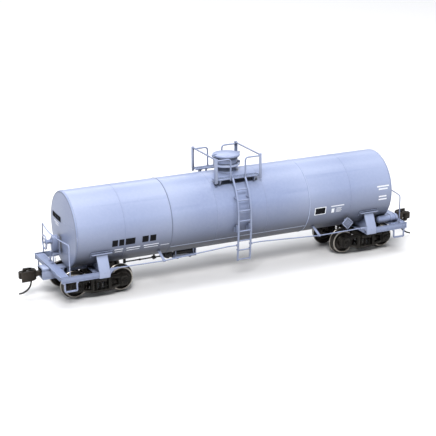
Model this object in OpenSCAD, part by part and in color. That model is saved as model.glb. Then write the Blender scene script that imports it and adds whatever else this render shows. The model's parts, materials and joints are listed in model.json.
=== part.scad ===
// HO scale model of a North American tank wagon on two four-wheel trucks.
// The long axis is X, the brake-wheel end is at -X, and Z = 0 is at the foot of the wheel flanges.

/* [Tank] */
// Outside radius of the tank barrel
tank_r = 16.3; // [15.6:0.1:16.4]
// Half length of the tank over the edges of its heads
tank_half = 75.4; // [75:0.1:75.5]
// Height of the tank's axis
tank_z = 27.95; // [27.9:0.05:28.6]
// Thickness of the tank shell
shell = 1.1; // [0.8:0.1:1.5]
// How far the middle of each head bulges past its edge
head_crown = 0.6; // [0.3:0.1:0.9]
// Distance from the middle to the raised belly seams
seam_x = 32.7; // [30:0.1:34]
// Half angle of the separate belly plate about the bottom
belly_angle = 50; // [40:1:52]

/* [Running gear] */
// Distance between the two truck centres
truck_pitch = 128.4; // [127:0.1:129]
// Distance between the axles of one truck
wheelbase = 20.4; // [19.8:0.1:20.6]
// Radius of the wheel tread
tread_r = 5.25; // [5.1:0.05:5.25]
// How far the flange stands out from the tread
flange_h = 0.65; // [0.4:0.05:0.65]
// Distance between the backs of the two wheels of an axle
back_to_back = 14.4; // [14.2:0.05:14.6]
// Width of a wheel
wheel_w = 2.8; // [2.2:0.1:2.8]
// Length of an axle over its points
axle_length = 25.8; // [25.4:0.1:25.8]

/* [Ends] */
// Distance from the middle to the outer edge of an end platform
platform_end = 83; // [82.5:0.1:83.5]
// Half width of the end platforms and side sills
sill_y = 17.8; // [17.4:0.1:18]
// Height of the platform deck's top face
deck_z = 12.9; // [12.8:0.05:13]
// Distance from the middle to the coupler pulling faces
pulling_face = 95.5; // [95.5:0.1:96.5]
// Height of the coupler's centre line
coupler_z = 10.5; // [10.3:0.1:10.6]
// Height of the end handrails
end_rail_z = 26.4; // [25.8:0.1:28]

/* [Top gear] */
// Half length of the top walkways
walk_x = 10.7; // [9:0.1:11.5]
// Height of the walkway's top face
walk_z = 43.8; // [43.6:0.1:44.2]
// Height of the guard rails around the walkway
guard_z = 52.9; // [50:0.1:54]
// Radius of the manway lid
lid_r = 6; // [5.2:0.1:6.2]
// Height of the top of the manway neck
neck_top = 50.6; // [49:0.1:51]

/* [Ladders and handrails] */
// Distance from the middle to a ladder rail's centre
ladder_x = 2.95; // [2.5:0.05:3.2]
// Radius of the wire that the handrails are made of
wire_r = 0.26; // [0.22:0.01:0.32]
// Distance from the middle to a handrail's wire, sideways
hand_y = 17.3; // [17:0.1:17.6]

/* [Hidden] */
$fn = 48;
BODY = "#a3abd2";
BLACK = "#1d1d20";
STEEL = "#8d8780";
DARK_BROWN = "#2b2624";
EPS = 0.02;
truck_x = truck_pitch / 2;
axle_z = tread_r + flange_h;
half_base = wheelbase / 2;
inner_r = tank_r - shell;
belly_z = tank_z - tank_r;

// ---- shared shapes ----

// a box given by its lowest and highest corners
module span(low, high) { translate(low) cube(high - low); }

// a round bar from one point to another
module rod(from, to, r = wire_r) {
    d = to - from;
    length = norm(d);
    tilt = acos(d[2] / length);
    turn = atan2(d[1], d[0]);
    translate(from) rotate([0, tilt, turn]) cylinder(r = r, h = length, $fn = 20);
}

// a ball that joins two bars, a little fatter than they are
module knee(at, r = wire_r) { translate(at) sphere(r = 1.12 * r, $fn = 20); }

// a wire with slight bends that runs along X through a list of points, with a sleeve over each bend
module wire(points, r = wire_r) {
    last = len(points) - 1;
    gap = 0.1;
    sleeve = 0.35;
    for (i = [1 : last]) {
        way = (points[i] - points[i - 1]) / norm(points[i] - points[i - 1]);
        rod(points[i - 1] + (i > 1 ? gap : 0) * way, points[i] - (i < last ? gap : 0) * way, r);
    }
    for (i = [1 : last - 1])
        along_x(points[i][0] - sleeve, points[i][0] + sleeve, 1.3 * r, points[i][1], points[i][2], 20);
}

// a cylinder lying along X
module along_x(x0, x1, r, y = 0, z = 0, fn = 48) {
    translate([x0, y, z]) rotate([0, 90, 0]) cylinder(r = r, h = x1 - x0, $fn = fn);
}

// a cylinder lying along Y
module along_y(y0, y1, r, x = 0, z = 0, fn = 48) {
    translate([x, y0, z]) rotate([-90, 0, 0]) cylinder(r = r, h = y1 - y0, $fn = fn);
}

// a flat outline in Y and Z, made solid from x0 to x1
module yz_plate(x0, x1) {
    translate([x0, 0, 0]) rotate([90, 0, 90]) linear_extrude(x1 - x0) children();
}

// a flat outline in X and Z, made solid from y0 to y1
module xz_plate(y0, y1) {
    translate([0, y1, 0]) rotate([90, 0, 0]) linear_extrude(y1 - y0) children();
}

// the same thing on both sides, mirrored across the long axis
module both_sides() { children(); mirror([0, 1, 0]) children(); }

// the same thing at both ends, mirrored across the middle
module both_ends() { children(); mirror([1, 0, 0]) children(); }

// turned half round, from the A end to the B end
module turned() { rotate([0, 0, 180]) children(); }

// ---- tank ----

seam_w = 0.5;
seam_h = 0.12;
head_t = 0.8;
head_edge_r = 0.6;
head_spigot = 1.6;
fit_gap = 0.05;

// the sector of the belly plate, as a tall wedge below the axis
module belly_wedge(angle, half_x) {
    reach = 2 * tank_r;
    yz_plate(-half_x, half_x) translate([0, tank_z])
        polygon([[0, 0], [-reach * sin(angle), -reach * cos(angle)], [0, -1.5 * reach],
            [reach * sin(angle), -reach * cos(angle)]]);
}

module tank_barrel() {
    barrel_end = tank_half - head_t;
    color(BODY) difference() {
        union() {
            along_x(-barrel_end, barrel_end, tank_r, 0, tank_z, 96);
            both_ends() along_x(seam_x, seam_x + seam_w, tank_r + seam_h, 0, tank_z, 96);
        }
        along_x(-tank_half, tank_half, inner_r, 0, tank_z, 96);
        belly_wedge(belly_angle, seam_x);
    }
}

module tank_end() {
    seat = tank_half - head_t;
    crown_r = (pow(tank_r - head_edge_r, 2) + pow(head_crown, 2)) / (2 * head_crown);
    dish = [for (i = [0 : 8]) let (r = (tank_r - head_edge_r) * i / 8)
        [r, head_t + head_crown - crown_r + sqrt(pow(crown_r, 2) - r * r)]];
    edge = [for (a = [75 : -15 : 0])
        [tank_r - head_edge_r + head_edge_r * cos(a), head_t - head_edge_r * (1 - sin(a))]];
    color(BODY) translate([seat, 0, tank_z]) rotate([0, 90, 0])
        rotate_extrude($fn = 96) polygon(concat(dish, edge,
            [[tank_r, 0], [inner_r - fit_gap, 0], [inner_r - fit_gap, -head_spigot],
             [inner_r - 1.2, -head_spigot], [inner_r - 1.2, -0.4], [0, -0.4]]));
}

module tank_end_a() { tank_end(); }
module tank_end_b() { turned() tank_end(); }

module tank_belly_plate() {
    half = seam_x - fit_gap;
    color(BODY) intersection() {
        difference() {
            along_x(-half, half, tank_r, 0, tank_z, 96);
            along_x(-half - 1, half + 1, inner_r, 0, tank_z, 96);
        }
        belly_wedge(belly_angle - 0.2, half);
    }
}

// steel bar that lies in the bottom of the tank and gives the model its weight
module ballast_weight() {
    half_w = 6;
    base = tank_z - sqrt(pow(inner_r, 2) - pow(half_w, 2)) + EPS;
    color(STEEL) span([-55, -half_w, base], [55, half_w, base + 6]);
}

// ---- underframe ----

deck_t = 0.9;
deck_x = tank_half + 0.3;
deck_strip = 3.9;
sill_t = 0.8;
sill_bottom = 10.6;
bolster_bottom = 10.3;
bolster_half = 2.4;
bolster_knee_z = 13;
bolster_top = 20.2;
bolster_top_y = 14.3;
box_half = 3;
box_front = platform_end + 3.4;
box_bottom = 8.6;
pocket_half = 2.35;
pocket_top = 11.7;
pocket_back = 76.6;
pivot_x = 79.2;
pivot_post_r = 1.2;
lid_t = 0.6;
screw_r = 0.6;
king_x = truck_x;
king_r = 1.2;
centre_plate_r = 3.4;
centre_plate_z = 9.95;

// stub centre sill with the coupler pocket at its outer end
module draft_sill() {
    color(BODY) difference() {
        union() {
            span([king_x + bolster_half, -box_half, bolster_bottom], [deck_x, box_half, belly_z]);
            span([deck_x - 1, -box_half, box_bottom], [platform_end, box_half, deck_z - deck_t]);
            span([platform_end + EPS, -box_half, box_bottom], [box_front, box_half, deck_z - 0.1]);
            span([platform_end - 1, -box_half, box_bottom], [box_front, box_half, deck_z - deck_t]);
        }
        difference() {
            span([pocket_back, -pocket_half, box_bottom - 1], [box_front + 1, pocket_half, pocket_top]);
            translate([pivot_x, 0, box_bottom]) cylinder(r = pivot_post_r, h = 4);
        }
        translate([pivot_x, 0, box_bottom - 1]) cylinder(r = screw_r + 0.02, h = 4);
        along_x(0, tank_half + 0.5, tank_r + EPS, 0, tank_z, 96);
    }
}

module draft_sill_a() { draft_sill(); }
module draft_sill_b() { turned() draft_sill(); }

// deck plate from deck_back outwards, its end beam, and two side sills reaching back to the bolster
module end_platform(deck_back) {
    sill_back = king_x + bolster_half + EPS;
    beam_t = 0.8;
    beam_bottom = 11.1;
    plate_in = 6.5;
    plate_out = 16;
    color(BODY) {
        span([deck_back, -sill_y, deck_z - deck_t], [platform_end, sill_y, deck_z]);
        both_sides() {
            span([sill_back, sill_y - sill_t, sill_bottom], [platform_end, sill_y, deck_z + 0.3]);
            difference() {
                span([platform_end - beam_t, box_half + 0.3, beam_bottom],
                    [platform_end, sill_y, deck_z]);
                span([platform_end - 0.3, plate_in + 0.4, beam_bottom + 0.4],
                    [platform_end + 1, plate_out - 0.4, deck_z - deck_t - 0.2]);
            }
        }
    }
}

module end_platform_a() { end_platform(deck_x); }
module end_platform_b() { turned() end_platform(platform_end - deck_strip); }

// saddle that carries the tank, with the leaning side brackets and the pads on the tank
module bolster() {
    pad_half = 4.75;
    pad_t = 0.45;
    pad_low = 35;
    pad_high = 26;
    flare = 3.2;
    ledge_t = 0.4;
    color(BODY) difference() {
        union() {
            both_sides() translate([king_x, 0, bolster_top - ledge_t]) linear_extrude(ledge_t)
                polygon([[-pad_half, bolster_top_y - 0.3], [pad_half, bolster_top_y - 0.3],
                    [pad_half - 0.45, bolster_top_y + 1.4], [-pad_half + 0.45, bolster_top_y + 1.4]]);
            yz_plate(king_x - bolster_half, king_x + bolster_half)
                polygon([[-sill_y, bolster_bottom], [sill_y, bolster_bottom], [sill_y, bolster_knee_z],
                    [bolster_top_y, bolster_top], [-bolster_top_y, bolster_top],
                    [-sill_y, bolster_knee_z]]);
            intersection() {
                along_x(king_x - pad_half, king_x + pad_half, tank_r + pad_t, 0, tank_z, 96);
                both_sides() translate([king_x - pad_half, 0, tank_z]) rotate([90, 0, 90])
                    linear_extrude(2 * pad_half)
                    polygon([[0, 0], [20 * cos(pad_low), -20 * sin(pad_low)],
                        [20 * cos(pad_high), -20 * sin(pad_high)]]);
            }
            both_sides() xz_plate(sill_y - 0.7, sill_y) difference() {
                polygon([[king_x - bolster_half - flare, 14.1], [king_x - bolster_half, 14.1],
                    [king_x - bolster_half, bolster_bottom]]);
                translate([king_x - bolster_half - flare, bolster_bottom])
                    circle(r = flare - 0.1, $fn = 48);
            }
            translate([king_x, 0, centre_plate_z]) {
                cylinder(r = centre_plate_r, h = bolster_bottom - centre_plate_z - EPS);
                cylinder(r = bolster_half - 0.1, h = 0.8);
            }
        }
        along_x(0, tank_half + 1, tank_r, 0, tank_z, 96);
        both_sides() yz_plate(king_x - bolster_half - 1, king_x - 0.5)
            polygon([[5, bolster_bottom + 0.6], [sill_y - 0.7, bolster_bottom + 0.6],
                [sill_y - 0.7, bolster_knee_z], [bolster_top_y - 0.5, bolster_top - 1]]);
        both_sides() yz_plate(king_x + 0.5, king_x + bolster_half + 1)
            polygon([[5, bolster_bottom + 0.6], [sill_y - 0.7, bolster_bottom + 0.6],
                [sill_y - 0.7, bolster_knee_z], [bolster_top_y - 0.5, bolster_top - 1]]);
        translate([king_x, 0, centre_plate_z - 1]) cylinder(r = king_r, h = 3.5);
    }
}

module bolster_a() { bolster(); }
module bolster_b() { turned() bolster(); }

module coupler_box_lids() {
    color(BODY) both_ends() difference() {
        span([deck_x - 1, -box_half, box_bottom - lid_t], [box_front - 0.2, box_half, box_bottom]);
        translate([pivot_x, 0, box_bottom - 1]) cylinder(r = screw_r + 0.02, h = 2);
    }
}

module coupler_box_screws() {
    head_r = 1.1;
    head_h = 0.6;
    head_z = box_bottom - lid_t - head_h;
    color(STEEL) both_ends() translate([pivot_x, 0, head_z]) difference() {
        union() {
            cylinder(r = head_r, h = head_h);
            cylinder(r = screw_r, h = head_h + lid_t + 2.4);
        }
        translate([-head_r, -0.15, -EPS]) cube([2 * head_r, 0.3, 0.3]);
    }
}

king_head_z = 6.5;
king_head_h = 0.8;
king_head_r = 2;
truck_screw_top = 11.6;

module truck_screws() {
    color(STEEL) both_ends() translate([king_x, 0, king_head_z]) difference() {
        union() {
            cylinder(r = king_head_r, h = king_head_h);
            cylinder(r = king_r, h = truck_screw_top - king_head_z - 0.1);
        }
        translate([-king_head_r, -0.25, -EPS]) cube([2 * king_head_r, 0.5, 0.4]);
    }
}

// ---- top gear ----

neck_flange_z = 46.4;
neck_flange_h = 0.9;
neck_flange_r = 5.6;
lower_neck_r = 4.2;
upper_neck_r = 4.7;
neck_bore_r = 3.5;
lid_h = 1;
lid_dome = 0.6;

module manway_neck() {
    color(BODY) difference() {
        union() {
            translate([0, 0, walk_z - 1.8]) cylinder(r = lower_neck_r, h = neck_flange_z - walk_z + 2);
            translate([0, 0, neck_flange_z]) cylinder(r = neck_flange_r, h = neck_flange_h);
            translate([0, 0, neck_flange_z]) cylinder(r = upper_neck_r, h = neck_top - neck_flange_z);
            span([upper_neck_r - 0.6, -0.7, neck_flange_z + 0.3],
                [neck_flange_r + 0.9, 0.7, neck_flange_z + 1.6]);
            span([-neck_flange_r - 0.3, -0.9, neck_flange_z + 0.3], [-upper_neck_r + 0.5, 0.9, neck_top]);
        }
        translate([0, 0, neck_flange_z - 1]) cylinder(r = neck_bore_r, h = 10);
        along_x(-10, 10, tank_r, 0, tank_z, 96);
    }
}

module manway_lid() {
    rim = lid_r - 0.5;
    dome_r = (rim * rim + lid_dome * lid_dome) / (2 * lid_dome);
    dome = [for (i = [0 : 6]) let (r = rim * i / 6)
        [r, lid_h + lid_dome - dome_r + sqrt(dome_r * dome_r - r * r)]];
    hinge_x = -lid_r - 0.2;
    color(BODY) translate([0, 0, neck_top]) {
        rotate_extrude($fn = 72)
            polygon(concat(dish_reverse(dome), [[0, 0], [lid_r, 0], [lid_r, lid_h - 0.2],
                [lid_r - 0.2, lid_h]]));
        span([hinge_x - 0.5, -0.8, 0], [-lid_r + 1, 0.8, lid_h + 0.35]);
        span([lid_r - 1, -0.6, 0.1], [lid_r + 0.6, 0.6, lid_h + 0.25]);
    }
}

// the points of an outline, from last to first
function dish_reverse(points) = [for (i = [len(points) - 1 : -1 : 0]) points[i]];

module manway_bolts() {
    count = 8;
    ring_r = (neck_flange_r + upper_neck_r) / 2;
    color(BODY) for (i = [0 : count - 1]) rotate([0, 0, 22.5 + i * 360 / count])
        translate([ring_r, 0, neck_flange_z + neck_flange_h]) {
            cylinder(r = 0.36, h = 0.3, $fn = 6);
            cylinder(r = 0.2, h = 0.65, $fn = 16);
        }
}

walk_in = 8;
walk_out = 12;
walk_t = 0.5;

// a grating strip: a frame with cross bars
module walkway() {
    rim = 0.45;
    bars = 15;
    step = 2 * (walk_x - rim) / bars;
    color(BODY) difference() {
        span([-walk_x, walk_in, walk_z - walk_t], [walk_x, walk_out, walk_z]);
        for (i = [0 : bars - 1])
            span([-walk_x + rim + step * (i + 0.18), walk_in + rim, walk_z - 0.22],
                [-walk_x + rim + step * (i + 0.82), walk_out - rim, walk_z + 1]);
    }
}

module walkway_far() { walkway(); }
module walkway_near() { mirror([0, 1, 0]) walkway(); }

bracket_x = 8.2;

module walkway_brackets() {
    foot = walk_in + 0.6;
    color(BODY) both_ends() both_sides() difference() {
        yz_plate(bracket_x - 0.35, bracket_x + 0.35)
            polygon([[foot, tank_z + 8], [foot, walk_z - walk_t], [walk_out - 0.3, walk_z - walk_t],
                [walk_out - 0.3, walk_z - walk_t - 0.8], [walk_out - 1.6, tank_z + 8]]);
        along_x(0, 20, tank_r, 0, tank_z, 96);
    }
}

post_w = 1.15;
post_t = 0.35;
post_bottom = 42.1;

module guard_posts() {
    color(BODY) both_ends() both_sides() {
        span([walk_x, walk_out + post_t - post_w, post_bottom],
            [walk_x + post_t, walk_out + post_t, guard_z + 0.2]);
        span([walk_x + post_t - post_w, walk_out, post_bottom],
            [walk_x + post_t, walk_out + post_t, guard_z + 0.2]);
    }
}

module guard_end_rails() {
    x = walk_x - wire_r;
    color(BODY) both_ends() rod([x, -walk_out, guard_z - 0.3], [x, walk_out, guard_z - 0.3]);
}

leg_x = 3.5;

// inverted U rails from each post along to a leg beside the manway
module guard_side_rails() {
    y = walk_out - wire_r;
    z = guard_z - 0.3 - 2 * wire_r;
    bend = 1.2;
    color(BODY) both_ends() both_sides() {
        rod([leg_x, y, walk_z], [leg_x, y, z - bend]);
        rod([leg_x + bend, y, z], [walk_x, y, z]);
        translate([leg_x + bend, y, z - bend]) rotate([90, 180, 0])
            rotate_extrude(angle = -90, $fn = 32) translate([bend, 0]) circle(r = wire_r, $fn = 20);
    }
}

// ---- ladders and handrails ----

ladder_bottom_y = 17;
ladder_bottom_z = 8;
ladder_y = 18.2;
ladder_kink_z = 21.5;
ladder_arc_r = 25;
ladder_arc_z = 28;
ladder_arc_y = ladder_y - ladder_arc_r;
ladder_top_z = 43.75;
rail_half = 0.35;
rail_depth = 0.8;
rung_zs = [8.4, 12.75, 17.1, 21.5, 26, 30.5, 35, 39.4];

// sideways place of the ladder's centre line at a height
function ladder_line(z) = z < ladder_kink_z
    ? ladder_bottom_y + (ladder_y - ladder_bottom_y) * (z - ladder_bottom_z) / (ladder_kink_z - ladder_bottom_z)
    : z < ladder_arc_z ? ladder_y
    : ladder_arc_y + sqrt(pow(ladder_arc_r, 2) - pow(z - ladder_arc_z, 2));

ladder_path = concat([ladder_bottom_z, ladder_kink_z, ladder_arc_z],
    [for (i = [1 : 7]) ladder_arc_z + (ladder_top_z - ladder_arc_z) * i / 7]);

module ladder() {
    outer = [for (z = ladder_path) [ladder_line(z) + rail_depth / 2, z]];
    inner = [for (i = [len(ladder_path) - 1 : -1 : 0])
        [ladder_line(ladder_path[i]) - rail_depth / 2, ladder_path[i]]];
    color(BODY) {
        for (s = [-1, 1]) yz_plate(s * ladder_x - rail_half, s * ladder_x + rail_half)
            polygon(concat(outer, inner));
        for (z = rung_zs) along_x(-ladder_x, ladder_x, 0.3, ladder_line(z), z, 20);
    }
}

module ladder_far() { ladder(); }
module ladder_near() { mirror([0, 1, 0]) ladder(); }

module ladder_standoffs() {
    z = 22.3;
    tall = 1.6;
    reach = ladder_line(z) - rail_depth / 2;
    pad_y = sqrt(pow(tank_r, 2) - pow(z - tank_z, 2)) + 0.2;
    color(BODY) both_sides() difference() {
        union() {
            for (x = [-ladder_x, ladder_x]) {
                span([x - rail_half, 13, z - 0.6], [x + rail_half, reach, z + 0.6]);
                span([x - 0.28, 13, z - tall], [x + 0.28, reach - 0.3, z + tall]);
                span([x - 0.9, 13, z - tall], [x + 0.9, pad_y, z + tall]);
                span([x - rail_half, 8, 35.4],
                    [x + rail_half, ladder_line(35.7) - rail_depth / 2 - 0.1, 36]);
            }
        }
        along_x(-10, 10, tank_r, 0, tank_z, 96);
    }
}

hand_end_x = truck_x - bolster_half - 3.2;
hand_end_z = 13.75;
hand_mid_x = 37.4;
hand_mid_z = 13.5;
hand_in_z = 15.2;

module handrail() {
    inner_x = ladder_x + rail_half;
    color(BODY) for (s = [-1, 1])
        wire([[s * hand_end_x, hand_y, hand_end_z], [s * hand_mid_x, hand_y, hand_mid_z],
            [s * 8, hand_y + 0.1, hand_in_z], [s * inner_x, hand_y + 0.3, hand_in_z]]);
}

module handrail_far() { handrail(); }
module handrail_near() { mirror([0, 1, 0]) handrail(); }

// slanted arms from the tank out to the long handrails
module handrail_stanchions() {
    angle = 47;
    root_r = tank_r - 0.3;
    color(BODY) both_ends() both_sides() difference() {
        union() {
            rod([hand_mid_x, root_r * cos(angle), tank_z - root_r * sin(angle)],
                [hand_mid_x, hand_y, hand_mid_z], 0.34);
            along_x(hand_mid_x - 0.5, hand_mid_x + 0.5, 0.5, hand_y, hand_mid_z, 24);
        }
        along_x(0, 60, tank_r, 0, tank_z, 96);
    }
}

module stirrup_steps() {
    x0 = 76;
    x1 = 81.8;
    bar = 0.55;
    foot_z = 6.5;
    color(BODY) both_ends() both_sides() {
        span([x0, sill_y - sill_t, foot_z], [x0 + bar, sill_y, sill_bottom]);
        span([x1 - bar, sill_y - sill_t, foot_z], [x1, sill_y, sill_bottom]);
        span([x0, sill_y - sill_t, foot_z], [x1, sill_y, foot_z + bar]);
        span([x0 - 0.6, sill_y - sill_t, sill_bottom - bar], [x0 + bar, sill_y, sill_bottom]);
        span([x1 - bar, sill_y - sill_t, sill_bottom - bar], [x1 + 0.6, sill_y, sill_bottom]);
    }
}

end_rail_x = 79.1;
end_rail_y = 17.2;
end_rail_bow = 1.6;

// two posts and a top rail that bows outwards
module end_rail() {
    r = (end_rail_y * end_rail_y + end_rail_bow * end_rail_bow) / (2 * end_rail_bow);
    half_turn = asin(end_rail_y / r);
    color(BODY) {
        both_sides() {
            rod([end_rail_x, end_rail_y, deck_z + 0.3], [end_rail_x, end_rail_y, end_rail_z]);
            knee([end_rail_x, end_rail_y, end_rail_z]);
        }
        translate([end_rail_x + end_rail_bow - r, 0, end_rail_z]) rotate([0, 0, -half_turn])
            rotate_extrude(angle = 2 * half_turn, $fn = 400) translate([r, 0])
            circle(r = wire_r, $fn = 20);
    }
}

module end_rail_a() { end_rail(); }
module end_rail_b() { turned() end_rail(); }

// ---- brake gear ----

brake_y = 3.8;
housing_z0 = 17.4;
housing_z1 = 24.6;
housing_x = -78.4;

module brake_stand() {
    plate_x = housing_x + 1.3;
    leg_x = housing_x - 1.6;
    arm_z = housing_z0 - 0.8;
    color(BODY) {
        span([plate_x, brake_y - 2, arm_z], [plate_x + 0.6, brake_y + 2, housing_z1 - 0.4]);
        for (y = [brake_y - 2, brake_y + 1.4]) {
            span([leg_x, y, arm_z], [plate_x + 0.1, y + 0.6, arm_z + 0.5]);
            span([leg_x, y, deck_z], [leg_x + 0.6, y + 0.6, arm_z + 0.5]);
            span([leg_x - 0.5, y - 0.2, deck_z], [leg_x + 0.6, y + 0.8, deck_z + 0.4]);
        }
    }
}

brake_wheel_x = -82.6;
brake_wheel_z = 22.2;
brake_wheel_r = 3.25;

module brake_housing() {
    front = housing_x - 1.2;
    back = housing_x + 1.3;
    color(BODY) {
        yz_plate(front, back) translate([brake_y, 0])
            polygon([[-1.3, housing_z0 + 1], [-0.6, housing_z0], [0.9, housing_z0], [1.6, housing_z0 + 1.2],
                [1.7, housing_z1 - 1.6], [0.9, housing_z1], [-0.9, housing_z1], [-1.5, housing_z1 - 1.2]]);
        along_x(brake_wheel_x + 0.7, front, 0.9, brake_y, brake_wheel_z);
        span([front + 0.9, brake_y - 0.4, deck_z - 0.3], [front + 1.5, brake_y + 0.4, housing_z0 + 0.2]);
    }
}

// dished hand wheel with spokes
module brake_wheel() {
    rim_r = 0.3;
    spokes = 6;
    color(BODY) translate([brake_wheel_x, brake_y, brake_wheel_z]) rotate([0, 90, 0]) {
        rotate_extrude($fn = 72) translate([brake_wheel_r - rim_r, 0]) circle(r = rim_r, $fn = 20);
        cylinder(r = 0.65, h = 0.7);
        for (i = [0 : spokes - 1]) rotate([0, 0, i * 360 / spokes])
            rod([0.4, 0, 0.4], [brake_wheel_r - rim_r, 0, 0], 0.2);
    }
}

tray_x0 = -27;
tray_x1 = -16;

module brake_cylinder() {
    z = belly_z - 1.25;
    color(BLACK) {
        along_x(tray_x0 + 1.5, tray_x1 - 1, 1.15, -1.2, z);
        along_x(tray_x0 + 1.1, tray_x0 + 1.6, 1.2, -1.2, z);
        along_x(tray_x0 - 0.2, tray_x0 + 1.2, 0.35, -1.2, z);
    }
}

module control_valve() {
    color(BLACK) {
        span([tray_x0 - 3.6, -1.9, 8.7], [tray_x0 - 0.3, 1.9, belly_z - 0.05]);
        along_x(tray_x0 - 4.3, tray_x0 - 3.6, 1, 0, 10.2);
        along_y(1.9, 2.5, 1, tray_x0 - 1.9, 10.2);
    }
}

module brake_tray() {
    color(BODY) difference() {
        union() {
            span([tray_x0, -2.4, 8], [tray_x1, 2.4, 9.2]);
            span([tray_x1 - 0.4, -2.6, 8], [tray_x1, 2.6, belly_z - 0.05]);
            for (x = [tray_x0 + 2.5, tray_x1 - 2.5]) translate([x, -1.2, 7.4])
                cylinder(r = 0.5, h = 0.7, $fn = 6);
        }
        span([tray_x0 - 1, -1.9, 8.6], [tray_x1 - 0.4, 1.9, 10]);
    }
}

module brake_rod() {
    z = 9.3;
    lever_x = -35;
    color(BLACK) {
        along_x(-48.7, tray_x0 - 4.3, 0.32, 0, z, 20);
        span([lever_x - 0.4, -0.9, 8.4], [lever_x + 0.4, 0.9, 10.6]);
        span([lever_x - 0.3, -0.3, 10.6], [lever_x + 0.3, 0.3, belly_z - 0.05]);
        span([-49.2, -0.5, z - 0.6], [-48.2, 0.5, belly_z - 0.05]);
    }
}

tank_air_r = 1.7;
tank_air_y = -12.5;
tank_air_z = 14.65;
tank_air_x0 = 70;
tank_air_x1 = 81;

module air_reservoir() {
    color(BODY) translate([tank_air_x0, tank_air_y, tank_air_z]) rotate([0, 90, 0])
        rotate_extrude($fn = 48) {
            length = tank_air_x1 - tank_air_x0;
            cap = 0.8;
            polygon(concat(
                [for (a = [0 : 15 : 90]) [tank_air_r * sin(a), cap - cap * cos(a)]],
                [for (a = [90 : -15 : 0]) [tank_air_r * sin(a), length - cap + cap * cos(a)]]));
        }
}

module reservoir_straps() {
    strap_r = tank_air_r + 0.25;
    color(BODY) for (x = [76.6, 79.2]) difference() {
        union() {
            along_x(x, x + 0.7, strap_r, tank_air_y, tank_air_z);
            span([x, tank_air_y - strap_r - 0.5, deck_z],
                [x + 0.7, tank_air_y + strap_r + 0.5, deck_z + 0.45]);
        }
        along_x(x - 1, x + 2, tank_air_r, tank_air_y, tank_air_z);
        span([x - 1, tank_air_y - 4, deck_z - 2], [x + 2, tank_air_y + 4, deck_z]);
    }
}

// diamond plates on short arms, one on each side
module placard_holders() {
    x = 52.7;
    y = 15.3;
    z = 16.6;
    side = 4.1;
    color(BODY) for (a = [0, 180]) rotate([0, 0, a]) difference() {
        union() {
            translate([x, -y, z]) rotate([90, 45, 0]) translate([-side / 2, -side / 2, 0])
                cube([side, side, 0.45]);
            translate([x, -y - 0.45, z]) rotate([90, 45, 0]) difference() {
                translate([-side / 2, -side / 2, 0]) cube([side, side, 0.2]);
                translate([-side / 2 + 0.4, -side / 2 + 0.4, -1]) cube([side - 0.8, side - 0.8, 2]);
            }
            rod([x, -y, z], [x, -12.2, z + 1.4], 0.4);
        }
        along_x(x - 5, x + 5, tank_r, 0, tank_z, 96);
    }
}

// ---- trucks ----

frame_in = 11.3;
frame_out = 13;
journal_out = 14.3;
truck_bolster_top = 9.9;
truck_bolster_low = 7.3;
cone_r = 1;

// side elevation of half a side frame, in X from the truck centre and Z
module side_outline() {
    chord = 9.3;
    shoulder = 8.5;
    polygon([[-half_base - 2.9, axle_z - 0.3], [-half_base - 2.9, axle_z + 1.6], [-half_base - 1.9, shoulder],
        [-half_base + 1.6, shoulder], [-5.2, chord], [5.2, chord], [half_base - 1.6, shoulder],
        [half_base + 1.9, shoulder], [half_base + 2.9, axle_z + 1.6], [half_base + 2.9, axle_z - 0.3],
        [half_base + 1.9, axle_z - 1.8], [half_base - 1.7, axle_z - 1.8], [5.2, 3], [4.4, 2.7],
        [-4.4, 2.7], [-5.2, 3], [-half_base + 1.7, axle_z - 1.8], [-half_base - 1.9, axle_z - 1.8]]);
}

// the openings of a side frame: the spring window and the two slanting ones
module side_windows() {
    translate([-3.2, 3.7]) square([6.4, 3.9]);
    for (s = [-1, 1])
        polygon([[s * 4.4, 4.3], [s * 4.4, 8.1], [s * (half_base - 2.7), 7.3], [s * (half_base - 2.5), 5]]);
}

// three coil springs standing in the spring window
module spring_group() {
    for (x = [-2, 0, 2]) translate([x, (frame_in + frame_out) / 2, 3.6]) {
        cylinder(r = 0.75, h = 4.1, $fn = 24);
        for (k = [0 : 4]) translate([0, 0, 0.3 + k * 0.75]) cylinder(r = 0.95, h = 0.35, $fn = 24);
    }
}

// the conical seat for an axle point; it runs with a little clearance all round
module axle_seat(x) {
    tip = axle_length / 2 + 0.12;
    for (s = [-1, 1]) translate([x, s * tip, axle_z]) rotate([s * 90, 0, 0])
        cylinder(r1 = 0.06, r2 = 3.3, h = 3.3 * 1.15, $fn = 48);
}

module truck_frame() {
    cap_w = 2.5;
    beam_x = 3.6;
    color(BLACK) difference() {
        union() {
            both_sides() {
                xz_plate(frame_in, frame_out) difference() { side_outline(); side_windows(); }
                xz_plate(frame_out, frame_out + 0.35) difference() {
                    side_outline();
                    offset_window();
                }
                for (s = [-1, 1]) {
                    span([s * half_base - cap_w / 2 - 0.3, frame_in, axle_z - 1.9],
                        [s * half_base + cap_w / 2 + 0.3, journal_out - 0.5, axle_z + 2]);
                    along_y(journal_out - 0.6, journal_out, 1.3, s * half_base, axle_z, 24);
                }
                spring_group();
                span([-3.1, 4, truck_bolster_low], [3.1, frame_in + 0.2, truck_bolster_top - 0.9]);
                span([-2.4, frame_in, truck_bolster_low], [2.4, frame_out + 0.8, truck_bolster_top - 1]);
            }
            span([-3.1, -5.5, truck_bolster_low], [3.1, 5.5, truck_bolster_top]);
            for (s = [-1, 1])
                span([s * beam_x - 0.35, -frame_in - 0.1, 4.6], [s * beam_x + 0.35, frame_in + 0.1, 5.4]);
        }
        cylinder(r = king_r + fit_gap, h = 20);
        translate([0, 0, king_head_z - 3]) cylinder(r = king_head_r + 0.15, h = king_head_h + 3.06);
        for (s = [-1, 1]) axle_seat(s * half_base);
    }
}

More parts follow.
